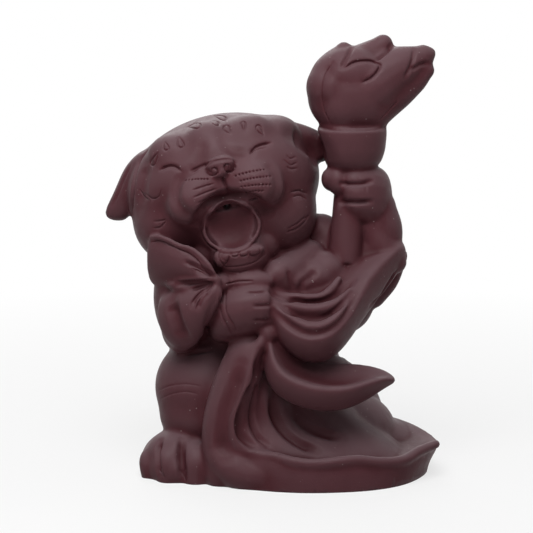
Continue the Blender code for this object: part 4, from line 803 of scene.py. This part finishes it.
SLEEVE_FOLDS = [
    ([(-1.9, 65.5), (1.9, 62.8), (7.1, 61.3), (13.9, 60.3), (20.7, 61.3), (25.9, 64.3), (29.7, 68.5)],
     2.4, 1.1),
    ([(-1.1, 63.2), (3.4, 60.7), (8.7, 59), (14.3, 58.2), (19.9, 59), (24.8, 61.3), (28.9, 65.5)], 1.7,
     -0.3),
    ([(0.4, 60.5), (4.1, 58), (8.7, 55.5), (14.3, 54), (19.2, 54.8), (23.3, 57.3), (26.3, 60.5),
     (28.9, 64.3)], 1.8, 0.8),
    ([(0.8, 57.8), (4.1, 54), (7.9, 51), (11.7, 49), (15.8, 48.5), (20.7, 49.8), (25.2, 53.3),
     (28.6, 57.8), (31.2, 63.2), (34.2, 68.1)], 2.4, 1.2),
    ([(5.6, 73.1), (6.4, 69.3), (7.9, 65.5)], 1.7, 0.7),
    ([(16.1, 73.1), (14.3, 70.4), (10.9, 68.1), (10.1, 64.7)], 2.4, 0.8),
    ([(46.1, 72.3), (43.2, 67.7), (39.8, 62.4), (36.5, 59.4)], 1.6, 1.2),
]
TRAIN_FOLDS = [
    ([(-4.5, 41.8), (-7.2, 31.8), (-10.2, 23.3), (-12.9, 16.3), (-12.5, 10.1), (-8.3, 5.4)], 2.8, 2),
    ([(-6.4, 27.9), (-7.5, 21.7), (-7.9, 15.5), (-6.4, 10.1), (-2.6, 5.8)], 2.2, 1.8),
    ([(-0.7, 22.5), (0.4, 17.1), (3.8, 11.3), (9.5, 6.6), (16.4, 3.5)], 3, 2),
    ([(6.5, 18.6), (11, 13.6), (17.1, 10.5), (26.2, 8.5)], 3.2, 1.4),
    ([(-12.4, 36.4), (-14.7, 27.9), (-17.8, 19.4), (-19.3, 9.3), (-17.8, 1.5)], 4.6, 2),
    ([(-35.8, 41), (-29.4, 41.4), (-23, 42.5)], 1.2, 0.6),
]
PAW_LINES = [
    ([(-9.8, 64.7), (-6.4, 64.5), (-2.6, 64.9)], 1.1, 0.8),
    ([(-7.1, 59.4), (-4.1, 59.4), (-1.1, 59.6)], 1.1, 0.8),
    ([(-7.1, 54), (-4.1, 53.8), (-1.1, 54)], 1.1, 0.8),
]
TOE_LINES = [
    ([(-42.8, 7.4), (-44, 1.9), (-43.3, -5.5)], 2.2, 1.8),
    ([(-34.5, 7.8), (-34.9, 1.2), (-34.2, -7)], 2.2, 1.8),
]
# Lines on the torch: their points run across from its axis, and up from the cup's foot
TORCH_LINES = [
    ([(-3.8, -6.9), (-0.4, -7), (3.3, -6.9), (7.4, -6.1)], 1.5, 1.6),
    ([(-3.7, -13.8), (-0.4, -14), (3.4, -14), (7.5, -13.6)], 1.5, 1.6),
    ([(-10.9, 22.1), (-11, 28.8), (-8.8, 35.1), (-4.7, 40.3)], 3.4, 0.6),
    ([(0.1, 43.6), (-2.5, 39.1), (-4, 36.2)], 1.4, 1),
    ([(-2.5, 36.2), (1.2, 38.4), (6.8, 38.8), (10.5, 37.3), (9.7, 35.1), (7.2, 32.5), (4.2, 31)], 1.4,
     0.6),
    ([(14.8, 44.7), (12.3, 41.7), (9, 39.1)], 1.4, 1),
    ([(23, 43.2), (22.3, 38), (19.8, 32.9)], 1.4, 0.8),
    ([(27.9, 38), (25.3, 37.3), (22.3, 35.5)], 1.4, 0.8),
    ([(-12, 14.1), (-6.5, 13.3), (0.2, 13.2), (6.9, 13.3), (12.5, 14.1)], 1, 0.7),
]


def torch_line(points, half_width, depth):
    """A line on the torch, in metres and from the origin."""
    points = [(TORCH_X + across, CUP_FOOT + up) for across, up in mm(points)]
    return points, mm(half_width), mm(depth)


LINES = mm(EYES + FACE_CREASES + NOSE + EAR_FOLDS + CUFF_FOLDS + SLEEVE_FOLDS + TRAIN_FOLDS
           + PAW_LINES + TOE_LINES)
LINES += [torch_line(*row) for row in TORCH_LINES]


def smooth_line(points, step):
    """Points about a step apart on a smooth line through the given ones."""
    ends = [2 * points[0] - points[1]] + points + [2 * points[-1] - points[-2]]
    line = []
    for a, b, c, d in zip(ends, ends[1:], ends[2:], ends[3:]):
        count = max(2, math.ceil((c - b).length / step))
        for i in range(count):
            t = i / count
            line.append(0.5 * (2 * b + (c - a) * t + (2 * a - 5 * b + 4 * c - d) * t ** 2
                               + (3 * b - a - 3 * c + d) * t ** 3))
    return line + [points[-1]]


def dropped(surface, line):
    """The line laid on the front of the clay, as it is seen from the viewpoint."""
    hits = [surface.ray_cast(VIEWPOINT, point - VIEWPOINT)[0] for point in line]
    hits = [hit for hit in hits if hit is not None]
    for _ in range(3):
        middle = [(a + 2 * b + c) / 4 for a, b, c in zip(hits, hits[1:], hits[2:])]
        hits = hits[:1] + middle + hits[-1:]
    return hits


# A line has this share of its depth at its ends, and gains it at this rate along its length
END_SHARE = 0.35
END_RISE = 4


def share_of_line(places, line, half_width):
    """How fully each place takes the line's depth: 1 on it, 0 from its half width outwards."""
    starts = np.array(line[:-1])
    runs = np.array(line[1:]) - starts
    lengths = np.maximum((runs ** 2).sum(1), 1e-12)
    away = places[:, None, :] - starts[None]
    along = np.clip((away * runs).sum(2) / lengths, 0, 1)
    distance = np.linalg.norm(away - along[..., None] * runs, axis=2)
    best = distance.argmin(1)
    rows = np.arange(len(places))
    travelled = (best + along[rows, best]) / len(runs)
    fade = np.clip(END_SHARE + END_RISE * np.minimum(travelled, 1 - travelled), 0, 1)
    return fade * np.clip(1 - (distance[rows, best] / half_width) ** 2, 0, 1) ** 2


def laid(mesh, lines, step, stretch, reach):
    """Lays lines on the front of the skin. Gives each with its half width, its depth and the
    points of the skin that are close to it."""
    surface = BVHTree.FromPolygons([vertex.co for vertex in mesh.vertices],
                                   [face.vertices for face in mesh.polygons])
    nearest = KDTree(len(mesh.vertices))
    for index, vertex in enumerate(mesh.vertices):
        nearest.insert(vertex.co, index)
    nearest.balance()
    for points, half_width, depth in lines:
        flat = smooth_line([Vector((x, 0, z)) for x, z in points], half_width * step)
        line = dropped(surface, flat)
        close = set()
        for hit in line:
            found = nearest.find_range(hit, half_width * stretch + reach)
            close.update(index for _, index, _ in found)
        yield line, half_width, depth, close


def score(mesh, lines):
    """Scores lines into the front of the clay, or raises them."""
    places = np.array([vertex.co for vertex in mesh.vertices])
    normals = np.array([vertex.normal for vertex in mesh.vertices])
    moves = np.zeros(len(places))
    for line, half_width, depth, close in laid(mesh, lines, 0.5, 1.1, 0):
        close = np.array(sorted(close))
        moves[close] -= depth * share_of_line(places[close], line, half_width)
    places += normals * moves[:, None]
    mesh.vertices.foreach_set("co", places.ravel())
    mesh.update()


# Fine strokes, engraved after the folds, in millimetres too; FINE is their usual half width
FINE = 0.5
EYE_SLITS = [
    ([(-42.1, 110.8), (-40.3, 111.9), (-38, 112.4), (-36.2, 111.9), (-34.3, 110.4)], 0.7, 0.8),
    ([(-8.4, 116.8), (-7.1, 118.7), (-5.6, 119.8), (-3.4, 120.5), (-0.9, 120.9)], 0.7, 0.8),
    ([(-7.5, 117.7), (-5.2, 118.7), (-2.4, 119.2)], FINE, 0.3),
]
NOSTRILS = [
    ([(-25.3, 112.7), (-25.2, 110.8), (-23.9, 109.1), (-22, 108.7), (-20.7, 109.9), (-21.3, 111.4),
     (-22.7, 111.4), (-22.9, 110.4)], FINE, 0.7),
    ([(-14.4, 113.8), (-14.2, 111.9), (-15.5, 110.2), (-17.2, 110.2), (-18.1, 111.6), (-17.5, 112.9),
     (-16.2, 112.7), (-16.4, 111.6)], FINE, 0.7),
    ([(-25.3, 112.7), (-23.5, 113.8), (-20.9, 114.4), (-17.9, 114.9), (-15.7, 114.7), (-14.4, 113.8)],
     FINE, 0.2),
    ([(-30.6, 110.4), (-27.6, 111.9), (-25.3, 112.7)], FINE, 0.3),
    ([(-18.7, 108), (-17.9, 105.6), (-16.4, 101.8)], FINE, 0.5),
]
CHEEK_STROKES = [
    ([(-49.6, 103.3), (-48.2, 101), (-46.3, 99.5)], FINE, 0.5),
    ([(-47.4, 101.8), (-45.2, 100.1), (-42.9, 100.7), (-41.8, 103.3)], FINE, 0.5),
    ([(-44.5, 91.4), (-42.3, 91.6), (-40, 92.2)], FINE, 0.5),
    ([(-44.9, 89), (-42.3, 89.2), (-40, 91.6)], FINE, 0.5),
    ([(5.2, 116.4), (6.3, 115.1), (8.5, 115.7)], FINE, 0.3),
    ([(4.1, 114.6), (6.7, 112.7), (8.9, 113.6)], FINE, 0.3),
    ([(5.2, 111.9), (6.7, 111.2), (8.9, 111.4)], FINE, 0.3),
    ([(6.7, 102.5), (9.7, 103.1), (12.5, 102)], FINE, 0.5),
    ([(7.5, 100.7), (10.1, 101.2), (12.3, 99.9)], FINE, 0.4),
    ([(5.2, 87.5), (8.6, 88.6), (11.6, 90.9), (13.3, 93.5)], FINE, 0.5),
    ([(6, 89), (9, 90.5), (11.2, 92.4), (13.3, 93.5)], FINE, 0.4),
]
WHISKERS = [
    ([(-29.9, 103.3), (-26.1, 104.6), (-22.2, 105.6)], FINE, 0.5),
    ([(-29.5, 100.5), (-25, 102.4), (-21.1, 103.7)], FINE, 0.5),
    ([(-28.8, 98), (-25.4, 99.7), (-22.4, 101)], FINE, 0.3),
    ([(-9, 99.3), (-6.7, 100.1), (-4.9, 99.9)], 0.6, 0.7),
]
TEETH = [
    ([(-19.5, 80.7), (-20.2, 78.4), (-19.5, 76.1), (-18, 75.2), (-16.7, 76.9), (-16.1, 79.9)], FINE,
     0.6),
    ([(-18.7, 79.5), (-18.9, 77.6), (-18, 76.5)], FINE, 0.3),
    ([(-15.6, 79.7), (-15.4, 78.2), (-13.3, 78.2), (-12.9, 79.7)], FINE, 0.5),
    ([(-12.6, 79.9), (-12.2, 78.2), (-9.6, 78.6), (-9.4, 80.1)], FINE, 0.5),
    ([(-8.8, 80.3), (-8.2, 78.4), (-5.4, 79.1), (-4.9, 81.4)], FINE, 0.5),
    ([(-20.2, 75), (-16.9, 74.2), (-11.6, 74.6), (-6.4, 76.3), (-3, 79.1)], FINE, 0.4),
    ([(-17.6, 72.7), (-13.1, 72.1), (-8.6, 73.1)], FINE, 0.3),
]
CUFF_LINES = [
    ([(-45.3, 83.7), (-42.3, 84.1), (-38.9, 82.6), (-34.8, 80.7), (-31.5, 79.3), (-28.5, 76.9),
     (-26.3, 73.8), (-23.6, 70.8)], FINE, 0.6),
    ([(-32.2, 75.7), (-27.8, 73.5), (-23.6, 71.2)], FINE, 0.4),
    ([(-30.4, 73.8), (-26.3, 71.9), (-22.9, 70.4)], FINE, 0.4),
    ([(-35.7, 68.9), (-29.3, 69.3), (-22.9, 69.5)], FINE, 0.4),
    ([(-33, 67.4), (-27.8, 67.9), (-22.9, 68.7)], FINE, 0.4),
    ([(-30, 65.8), (-25.9, 67.2), (-22.5, 68.3)], FINE, 0.4),
    ([(-30.4, 60.5), (-27.8, 63.9), (-24, 66.8)], FINE, 0.4),
    ([(-28.9, 58.2), (-27.1, 62.4), (-24, 65.8)], FINE, 0.4),
    ([(-19.5, 64.1), (-20.1, 60.5), (-19.2, 55.5), (-15.8, 49)], 0.6, 0.5),
    ([(-17.3, 65.7), (-18, 62.4), (-17.7, 57.1), (-13.9, 50.6)], 0.6, 0.5),
    ([(-17.6, 67.7), (-12.8, 68.7), (-7.9, 68.9)], 0.6, 0.5),
]
THIGH_STRIPES = [
    ([(-43.8, 26.7), (-38.9, 28.7), (-33.2, 29.4), (-27.6, 28.7)], FINE, 0.2),
    ([(-42.7, 23.6), (-38.2, 25.6), (-32.9, 26.4), (-28.7, 25.6)], FINE, 0.2),
]
CLAW_LINES = [
    ([(-42.9, -3.9), (-41.4, -6.6)], FINE, 0.5),
    ([(-34.6, -4.3), (-33.4, -7.4)], FINE, 0.5),
]
FLAME_STROKES = [
    ([(26.6, 148.8), (30.3, 151), (35.9, 151.4), (39.6, 149.9)], 0.6, 0.6),
    ([(39.6, 149.9), (38.8, 147.7), (36.3, 145.1), (33.3, 143.6)], 0.6, 0.6),
    ([(22.2, 151), (19.2, 145.8), (18.1, 139.9), (18.9, 133.2), (21.5, 128)], FINE, 0.3),
    ([(46.3, 136.6), (42.7, 132.8), (39.3, 129.1)], FINE, 0.3),
]
# Locks of fur on the forehead: the pointed end, the round end and the half width, in millimetres
LOCKS = [
    ((-31.6, 126.9), (-27.1, 127.6), 1),
    ((-23.4, 129.1), (-20.1, 128), 0.8),
    ((-21.9, 131.2), (-17.5, 129.9), 0.8),
    ((-15.6, 124.3), (-17.9, 127.3), 1.1),
    ((-10.8, 125.4), (-11.2, 128.9), 0.9),
    ((-3.4, 123.5), (-5.8, 127.4), 1),
    ((-35, 123.2), (-34.2, 119.4), 1.1),
    ((-40.2, 121.3), (-39.8, 118.3), 1),
    ((-42.8, 117.5), (-45.3, 112.7), 0.9),
]
# Rows of whisker holes: both ends, how many, and how far the row rises in its middle; all
# lengths are in millimetres
WHISKER_ROWS = [
    ((-32.8, 106.9), (-24.6, 107.4), 8, 0.3),
    ((-14.2, 108.6), (-3.4, 111), 9, 0.3),
    ((-12.3, 106.7), (-1.1, 108.4), 10, 0.3),
    ((-12, 104.4), (-1.1, 105.2), 9, 0.3),
    ((-10.1, 102.5), (-4.1, 102.9), 6, 0.1),
]
# Sizes of a lock's stroke, a whisker hole and the groove round the mouth's rim, in metres
STROKE_WIDTH = mm(FINE)
LOCK_DEPTH = 0.0005
HOLE_LENGTH = 0.0003
HOLE_WIDTH = 0.0006
HOLE_DEPTH = 0.0010
RIM_GROOVE_GAP = 0.0016
RIM_GROOVE_WIDTH = 0.0007
RIM_GROOVE_DEPTH = 0.0004


def lock(tip, end, half_width):
    """A lock of fur: a drop, drawn round from its pointed end."""
    tip = Vector(tip)
    run = Vector(end) - tip
    aside = Vector((-run.y, run.x)).normalized() * half_width
    shape = [(0, 0), (0.35, 0.6), (0.75, 1), (1, 0.55), (1, -0.55), (0.75, -1), (0.35, -0.6), (0, 0)]
    points = [tuple(tip + run * along + aside * across) for along, across in shape]
    return points, STROKE_WIDTH, LOCK_DEPTH


def whisker_holes(start, end, count, rise):
    """A row of small pricked holes."""
    start, end, rise = mm((start, end, rise))
    holes = []
    for i in range(count):
        t = i / (count - 1)
        place = Vector(start).lerp(Vector(end), t) + Vector((0, rise * 4 * t * (1 - t)))
        ends = [tuple(place), tuple(place + Vector((HOLE_LENGTH, 0)))]
        holes.append((ends, HOLE_WIDTH, HOLE_DEPTH))
    return holes


def seen(point):
    """Where a point of the figure is drawn, on the upright plane through the origin."""
    run = point - VIEWPOINT
    place = VIEWPOINT - run * (VIEWPOINT.y / run.y)
    return place.x, place.z


def rim_groove():
    """A fine groove round the mouth, at a gap from the edge of its hollow."""
    gap = RIM_GROOVE_GAP
    points = []
    for i in range(GROOVE_STEPS + 1):
        turn = math.radians(90 + 360 * i / GROOVE_STEPS)
        up = MOUTH_UP + (MOUTH_HALF_HEIGHT + gap) * math.sin(turn)
        points.append(seen(on_head((MOUTH_HALF_WIDTH + gap) * math.cos(turn), up, MOUTH_OUT)))
    return points, RIM_GROOVE_WIDTH, RIM_GROOVE_DEPTH


STROKES = mm(EYE_SLITS + NOSTRILS + CHEEK_STROKES + WHISKERS + TEETH + CUFF_LINES
             + THIGH_STRIPES + CLAW_LINES + FLAME_STROKES)
STROKES += [lock(*places) for places in mm(LOCKS)]
STROKES += [hole for row in WHISKER_ROWS for hole in whisker_holes(*row)]
STROKES.append(rim_groove())


# How far beside a stroke the skin is refined, and how smooth a skin the hollows are told from
REFINED_REACH = 0.0006
HOLLOW_ROUNDS = 60


def refined(mesh, lines, reach):
    """Halves the skin's edges close to the lines, so that a narrow stroke stays crisp."""
    close = set().union(*(found[3] for found in laid(mesh, lines, 1, 1, reach)))
    skin = clay_of(mesh)
    skin.verts.ensure_lookup_table()
    edges = [edge for edge in skin.edges
             if edge.verts[0].index in close and edge.verts[1].index in close]
    bmesh.ops.subdivide_edges(skin, edges=edges, cuts=1, use_grid_fill=True)
    return mesh_of(skin, "refined")


def thinned(mesh):
    """Thins the skin out to its triangle budget."""
    obj = placed("thinned", mesh)
    thin = obj.modifiers.new("thin", "DECIMATE")
    triangles = sum(len(face.vertices) - 2 for face in mesh.polygons)
    thin.ratio = min(1.0, TRIANGLES / triangles)
    return evaluated(obj)


def on_the_floor(mesh):
    """Cuts the foot flat."""
    obj = placed("flat foot", mesh)
    block = bmesh.new()
    bmesh.ops.create_cube(block, size=1, matrix=Matrix.Translation((0, 0, -FLOOR_CUT / 2))
                          @ Matrix.Diagonal((FLOOR_CUT_WIDTH, FLOOR_CUT_WIDTH, FLOOR_CUT, 1)))
    floor = placed("floor cutter", mesh_of(block, "floor cutter"))
    cut_away(obj, floor)
    mesh = evaluated(obj)
    bpy.data.objects.remove(floor)
    return mesh


def sunk(mesh, rounds):
    """How far each point lies below the skin that is left after so many rounds of smoothing."""
    count = len(mesh.vertices)
    places = np.array([vertex.co for vertex in mesh.vertices])
    normals = np.array([vertex.normal for vertex in mesh.vertices])
    edges = np.empty(2 * len(mesh.edges), dtype=np.int64)
    mesh.edges.foreach_get("vertices", edges)
    start, end = edges.reshape(-1, 2).T
    degree = np.bincount(start, minlength=count) + np.bincount(end, minlength=count)
    soft = places.copy()
    for _ in range(rounds):
        total = np.empty_like(soft)
        for axis in range(3):
            total[:, axis] = (np.bincount(start, soft[end, axis], count)
                              + np.bincount(end, soft[start, axis], count))
        soft = 0.5 * soft + 0.5 * total / np.maximum(degree, 1)[:, None]
    return ((soft - places) * normals).sum(1)


def store(mesh, name, values):
    layer = mesh.attributes.new(name, "FLOAT", "POINT")
    layer.data.foreach_set("value", values.astype(np.float32))


# The clay's colours: dark wine red, with painted shade in the folds, a lighter painted highlight on the
# swells and a greyer painted sheen on upward faces
CLAY = (0.067, 0.0210, 0.0260, 1)
CLOUD = (0.057, 0.0170, 0.0210, 1)
# Painted shade: the darker wine red that is laid where the skin is sunk in folds and creases
FOLD_SHADE = (0.038, 0.0095, 0.0120, 1)
# Painted highlight: the lighter colour that is laid on the swells
SWELL_HIGHLIGHT = (0.082, 0.038, 0.044, 1)
# Painted sheen: a lighter grey laid on upward faces, in patches, and less of it in the hollows
PAINTED_SHEEN = (0.170, 0.128, 0.140, 1)
GRAIN_OF_SAND = (0.330, 0.270, 0.270, 1)
# Scales of the clay's clouds, the patches of painted sheen, sand, polish and fine grain
SHEEN_PATCH_SCALE = 45.0
CLOUD_SCALE = 70.0
SAND_PATCH_SCALE = 160.0
POLISH_SCALE = 300.0
SAND_SCALE = 420.0
BUMP_SCALE = 1300.0
BUMP_HEIGHT = 0.0002
SHEEN = 0.06
# Ranges: the two ends of what is read, and where they differ from 0 and 1, of what it gives.
# The hollow read by FOLDED for the painted fold shade, by SWOLLEN for the painted swell highlight and
# by the painted sheen's hollow range is in metres, and a swell is below 0
CLOUDED = (0.38, 0.66)
FOLDED = (0.00010, 0.00150)
SWOLLEN = (-0.00005, -0.00060, 0.0, 0.55)
SHEEN_FACING_UP = (0.10, 1.0, 0.0, 0.40)
SHEEN_PATCHES = (0.30, 0.70, 0.6, 1.0)
SHEEN_OFF_HOLLOWS = (0.00010, 0.00090, 1.0, 0.1)
SAND_SPOTS = (0.13, 0.05)
SAND_PATCHES = (0.56, 0.62, 0.0, 0.45)
ROUGHNESS = (0.3, 0.7, 0.38, 0.50)


def node(tree, kind, **values):
    made = tree.nodes.new(kind)
    for key, value in values.items():
        setattr(made, key, value)
    return made


def mix_colours(tree, share, low, high):
    """A colour mix; each argument is a socket or a value."""
    mix = node(tree, "ShaderNodeMix", data_type="RGBA")
    for socket, value in ((mix.inputs[0], share), (mix.inputs[6], low), (mix.inputs[7], high)):
        if hasattr(value, "is_output"):
            tree.links.new(value, socket)
        else:
            socket.default_value = value
    return mix.outputs[2]


def ranged(tree, value, low, high, to_low=0.0, to_high=1.0):
    made = node(tree, "ShaderNodeMapRange")
    tree.links.new(value, made.inputs["Value"])
    ends = {"From Min": low, "From Max": high, "To Min": to_low, "To Max": to_high}
    for name, end in ends.items():
        made.inputs[name].default_value = end
    return made.outputs["Result"]


def maths(tree, operation, a, b):
    made = node(tree, "ShaderNodeMath", operation=operation)
    tree.links.new(a, made.inputs[0])
    tree.links.new(b, made.inputs[1])
    return made.outputs[0]


def mix_shaders(tree, share, low, high, output):
    mix = node(tree, "ShaderNodeMixShader")
    for socket, value in zip(mix.inputs, (share, low.outputs[0], high.outputs[0])):
        tree.links.new(value, socket)
    tree.links.new(mix.outputs[0], tree.nodes[output].inputs[0])


def noise(tree, place, scale, detail=3.0, roughness=0.55):
    made = node(tree, "ShaderNodeTexNoise")
    tree.links.new(place, made.inputs["Vector"])
    made.inputs["Scale"].default_value = scale
    made.inputs["Detail"].default_value = detail
    made.inputs["Roughness"].default_value = roughness
    return made.outputs["Fac"]


def purple_clay():
    """Unglazed purple clay, with painted shade, a darker wine red, in the folds, a painted highlight on
    the swells and a greyer painted sheen on top.
    """
    material = bpy.data.materials.new("purple clay, unglazed")
    material.use_nodes = True
    tree = material.node_tree
    shader = tree.nodes["Principled BSDF"]
    place = node(tree, "ShaderNodeTexCoord").outputs["Object"]
    hollow = node(tree, "ShaderNodeAttribute", attribute_name="hollow").outputs["Fac"]

    clouds = ranged(tree, noise(tree, place, CLOUD_SCALE), *CLOUDED)
    colour = mix_colours(tree, clouds, CLAY, CLOUD)
    # Painted shade: the colour darkens where the skin is sunk below its smoothed surface
    colour = mix_colours(tree, ranged(tree, hollow, *FOLDED), colour, FOLD_SHADE)
    # Painted highlight: the colour lightens on the swells, where the skin stands above its smoothed
    # surface
    colour = mix_colours(tree, ranged(tree, hollow, *SWOLLEN), colour, SWELL_HIGHLIGHT)

    # Painted sheen: greyer on upward faces, in noise patches, fading out of the hollows
    upward = node(tree, "ShaderNodeSeparateXYZ")
    tree.links.new(node(tree, "ShaderNodeNewGeometry").outputs["Normal"], upward.inputs[0])
    sheen_on_top = maths(tree, "MULTIPLY", ranged(tree, upward.outputs["Z"], *SHEEN_FACING_UP),
                    ranged(tree, noise(tree, place, SHEEN_PATCH_SCALE), *SHEEN_PATCHES))
    sheen_share = maths(tree, "MULTIPLY", sheen_on_top, ranged(tree, hollow, *SHEEN_OFF_HOLLOWS))
    colour = mix_colours(tree, sheen_share, colour, PAINTED_SHEEN)

    sand = node(tree, "ShaderNodeTexVoronoi")
    tree.links.new(place, sand.inputs["Vector"])
    sand.inputs["Scale"].default_value = SAND_SCALE
    few = maths(tree, "MULTIPLY", ranged(tree, sand.outputs["Distance"], *SAND_SPOTS),
                ranged(tree, noise(tree, place, SAND_PATCH_SCALE, 1.0), *SAND_PATCHES))
    colour = mix_colours(tree, few, colour, GRAIN_OF_SAND)
    tree.links.new(colour, shader.inputs["Base Color"])

    tree.links.new(ranged(tree, noise(tree, place, POLISH_SCALE), *ROUGHNESS),
                   shader.inputs["Roughness"])
    shader.inputs["Metallic"].default_value = 0.0
    shader.inputs["Specular IOR Level"].default_value = SHEEN

    bump = node(tree, "ShaderNodeBump")
    bump.inputs["Strength"].default_value = 0.30
    bump.inputs["Distance"].default_value = BUMP_HEIGHT
    tree.links.new(noise(tree, place, BUMP_SCALE, 4.0, 0.7), bump.inputs["Height"])
    tree.links.new(bump.outputs["Normal"], shader.inputs["Normal"])
    return material


def shaped():
    """The casting's skin, with its engraved strokes and with how sunk each point is."""
    mesh = details(forms(masses()))
    score(mesh, LINES)
    mesh = refined(mesh, STROKES, REFINED_REACH)
    score(mesh, STROKES)
    mesh = on_the_floor(thinned(mesh))
    mesh.name = "tiger_cub"
    mesh.shade_smooth()
    store(mesh, "hollow", sunk(mesh, HOLLOW_ROUNDS))
    return mesh


def figure():
    """The whole casting, which stands for the plain solid."""
    mesh = shaped()
    mesh.materials.clear()
    mesh.materials.append(purple_clay())
    piece = placed("tiger_cub", mesh)
    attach(piece, "root")
    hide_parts("figure")


# The photograph's view: square frame, looking down by nine degrees
AIM = Vector((-0.00244, 0.0, 0.0744))
CAMERA_DISTANCE = 0.900
CAMERA_TILT = math.radians(9)
LENS = 162.1
SENSOR = 36.0

# What every lamp faces, and the strength of the world's light
LAMP_AIM = Vector((0, 0, 0.075))
WORLD_LIGHT = 0.20


def camera():
    data = bpy.data.cameras.new("camera")
    data.lens = LENS
    data.sensor_width = SENSOR
    view = placed("camera", data)
    back = Vector((0, -math.cos(CAMERA_TILT), math.sin(CAMERA_TILT)))
    view.location = AIM + back * CAMERA_DISTANCE
    view.rotation_euler = (math.pi / 2 - CAMERA_TILT, 0, 0)
    bpy.context.scene.camera = view


def softbox(name, place, size, power):
    """A square lamp that faces the figure."""
    data = bpy.data.lights.new(name, "AREA")
    data.shape = "SQUARE"
    data.size = size
    data.energy = power
    lamp = placed(name, data)
    lamp.visible_camera = False
    lamp.location = place
    aim = LAMP_AIM - lamp.location
    lamp.rotation_euler = aim.to_track_quat("-Z", "Y").to_euler()


def background_rays(tree):
    """1 for the rays that show the background: the camera's own, and gloss."""
    rays = node(tree, "ShaderNodeLightPath")
    either = rays.outputs["Is Camera Ray"]
    for kind in ("Is Glossy Ray", "Is Transmission Ray"):
        either = maths(tree, "MAXIMUM", either, rays.outputs[kind])
    return either


def lights():
    softbox("key", (-0.05, -0.29, 0.50), 0.35, 3.1)
    softbox("fill", (-0.60, -0.75, 0.35), 0.60, 0.8)
    softbox("far side", (0.75, 0.30, 0.45), 0.50, 0.8)
    softbox("back", (-0.15, 0.60, 0.55), 0.50, 2.2)
    world = bpy.data.worlds.new("studio")
    bpy.context.scene.world = world
    world.use_nodes = True
    tree = world.node_tree
    around = tree.nodes["Background"]
    around.inputs["Color"].default_value = (1, 1, 1, 1)
    around.inputs["Strength"].default_value = WORLD_LIGHT
    white = node(tree, "ShaderNodeBackground")
    white.inputs["Color"].default_value = (1, 1, 1, 1)
    white.inputs["Strength"].default_value = 1.0
    mix_shaders(tree, background_rays(tree), around, white, "World Output")


# The floor's half side, its colour, and how it turns white with distance from the figure
FLOOR_SIZE = 1.5
FLOOR_COLOUR = (0.62, 0.62, 0.62, 1)
FLOOR_FADE = (0.07, 0.40, 0.72, 1.0)


def stage():
    """A pale floor that takes the figure's shadow and fades into the white backdrop."""
    plate = bmesh.new()
    bmesh.ops.create_grid(plate, x_segments=1, y_segments=1, size=FLOOR_SIZE)
    floor = placed("floor", mesh_of(plate, "floor"))
    material = bpy.data.materials.new("pale floor")
    material.use_nodes = True
    tree = material.node_tree
    shader = tree.nodes["Principled BSDF"]
    shader.inputs["Base Color"].default_value = FLOOR_COLOUR
    shader.inputs["Roughness"].default_value = 0.8
    white = node(tree, "ShaderNodeEmission")
    white.inputs["Strength"].default_value = 1.0
    away = node(tree, "ShaderNodeVectorMath", operation="LENGTH")
    tree.links.new(node(tree, "ShaderNodeTexCoord").outputs["Object"], away.inputs[0])
    share = maths(tree, "MULTIPLY", ranged(tree, away.outputs["Value"], *FLOOR_FADE),
                  background_rays(tree))
    mix_shaders(tree, share, shader, white, "Material Output")
    floor.data.materials.append(material)


figure()
camera()
lights()
stage()
bpy.context.scene.view_settings.view_transform = "Standard"
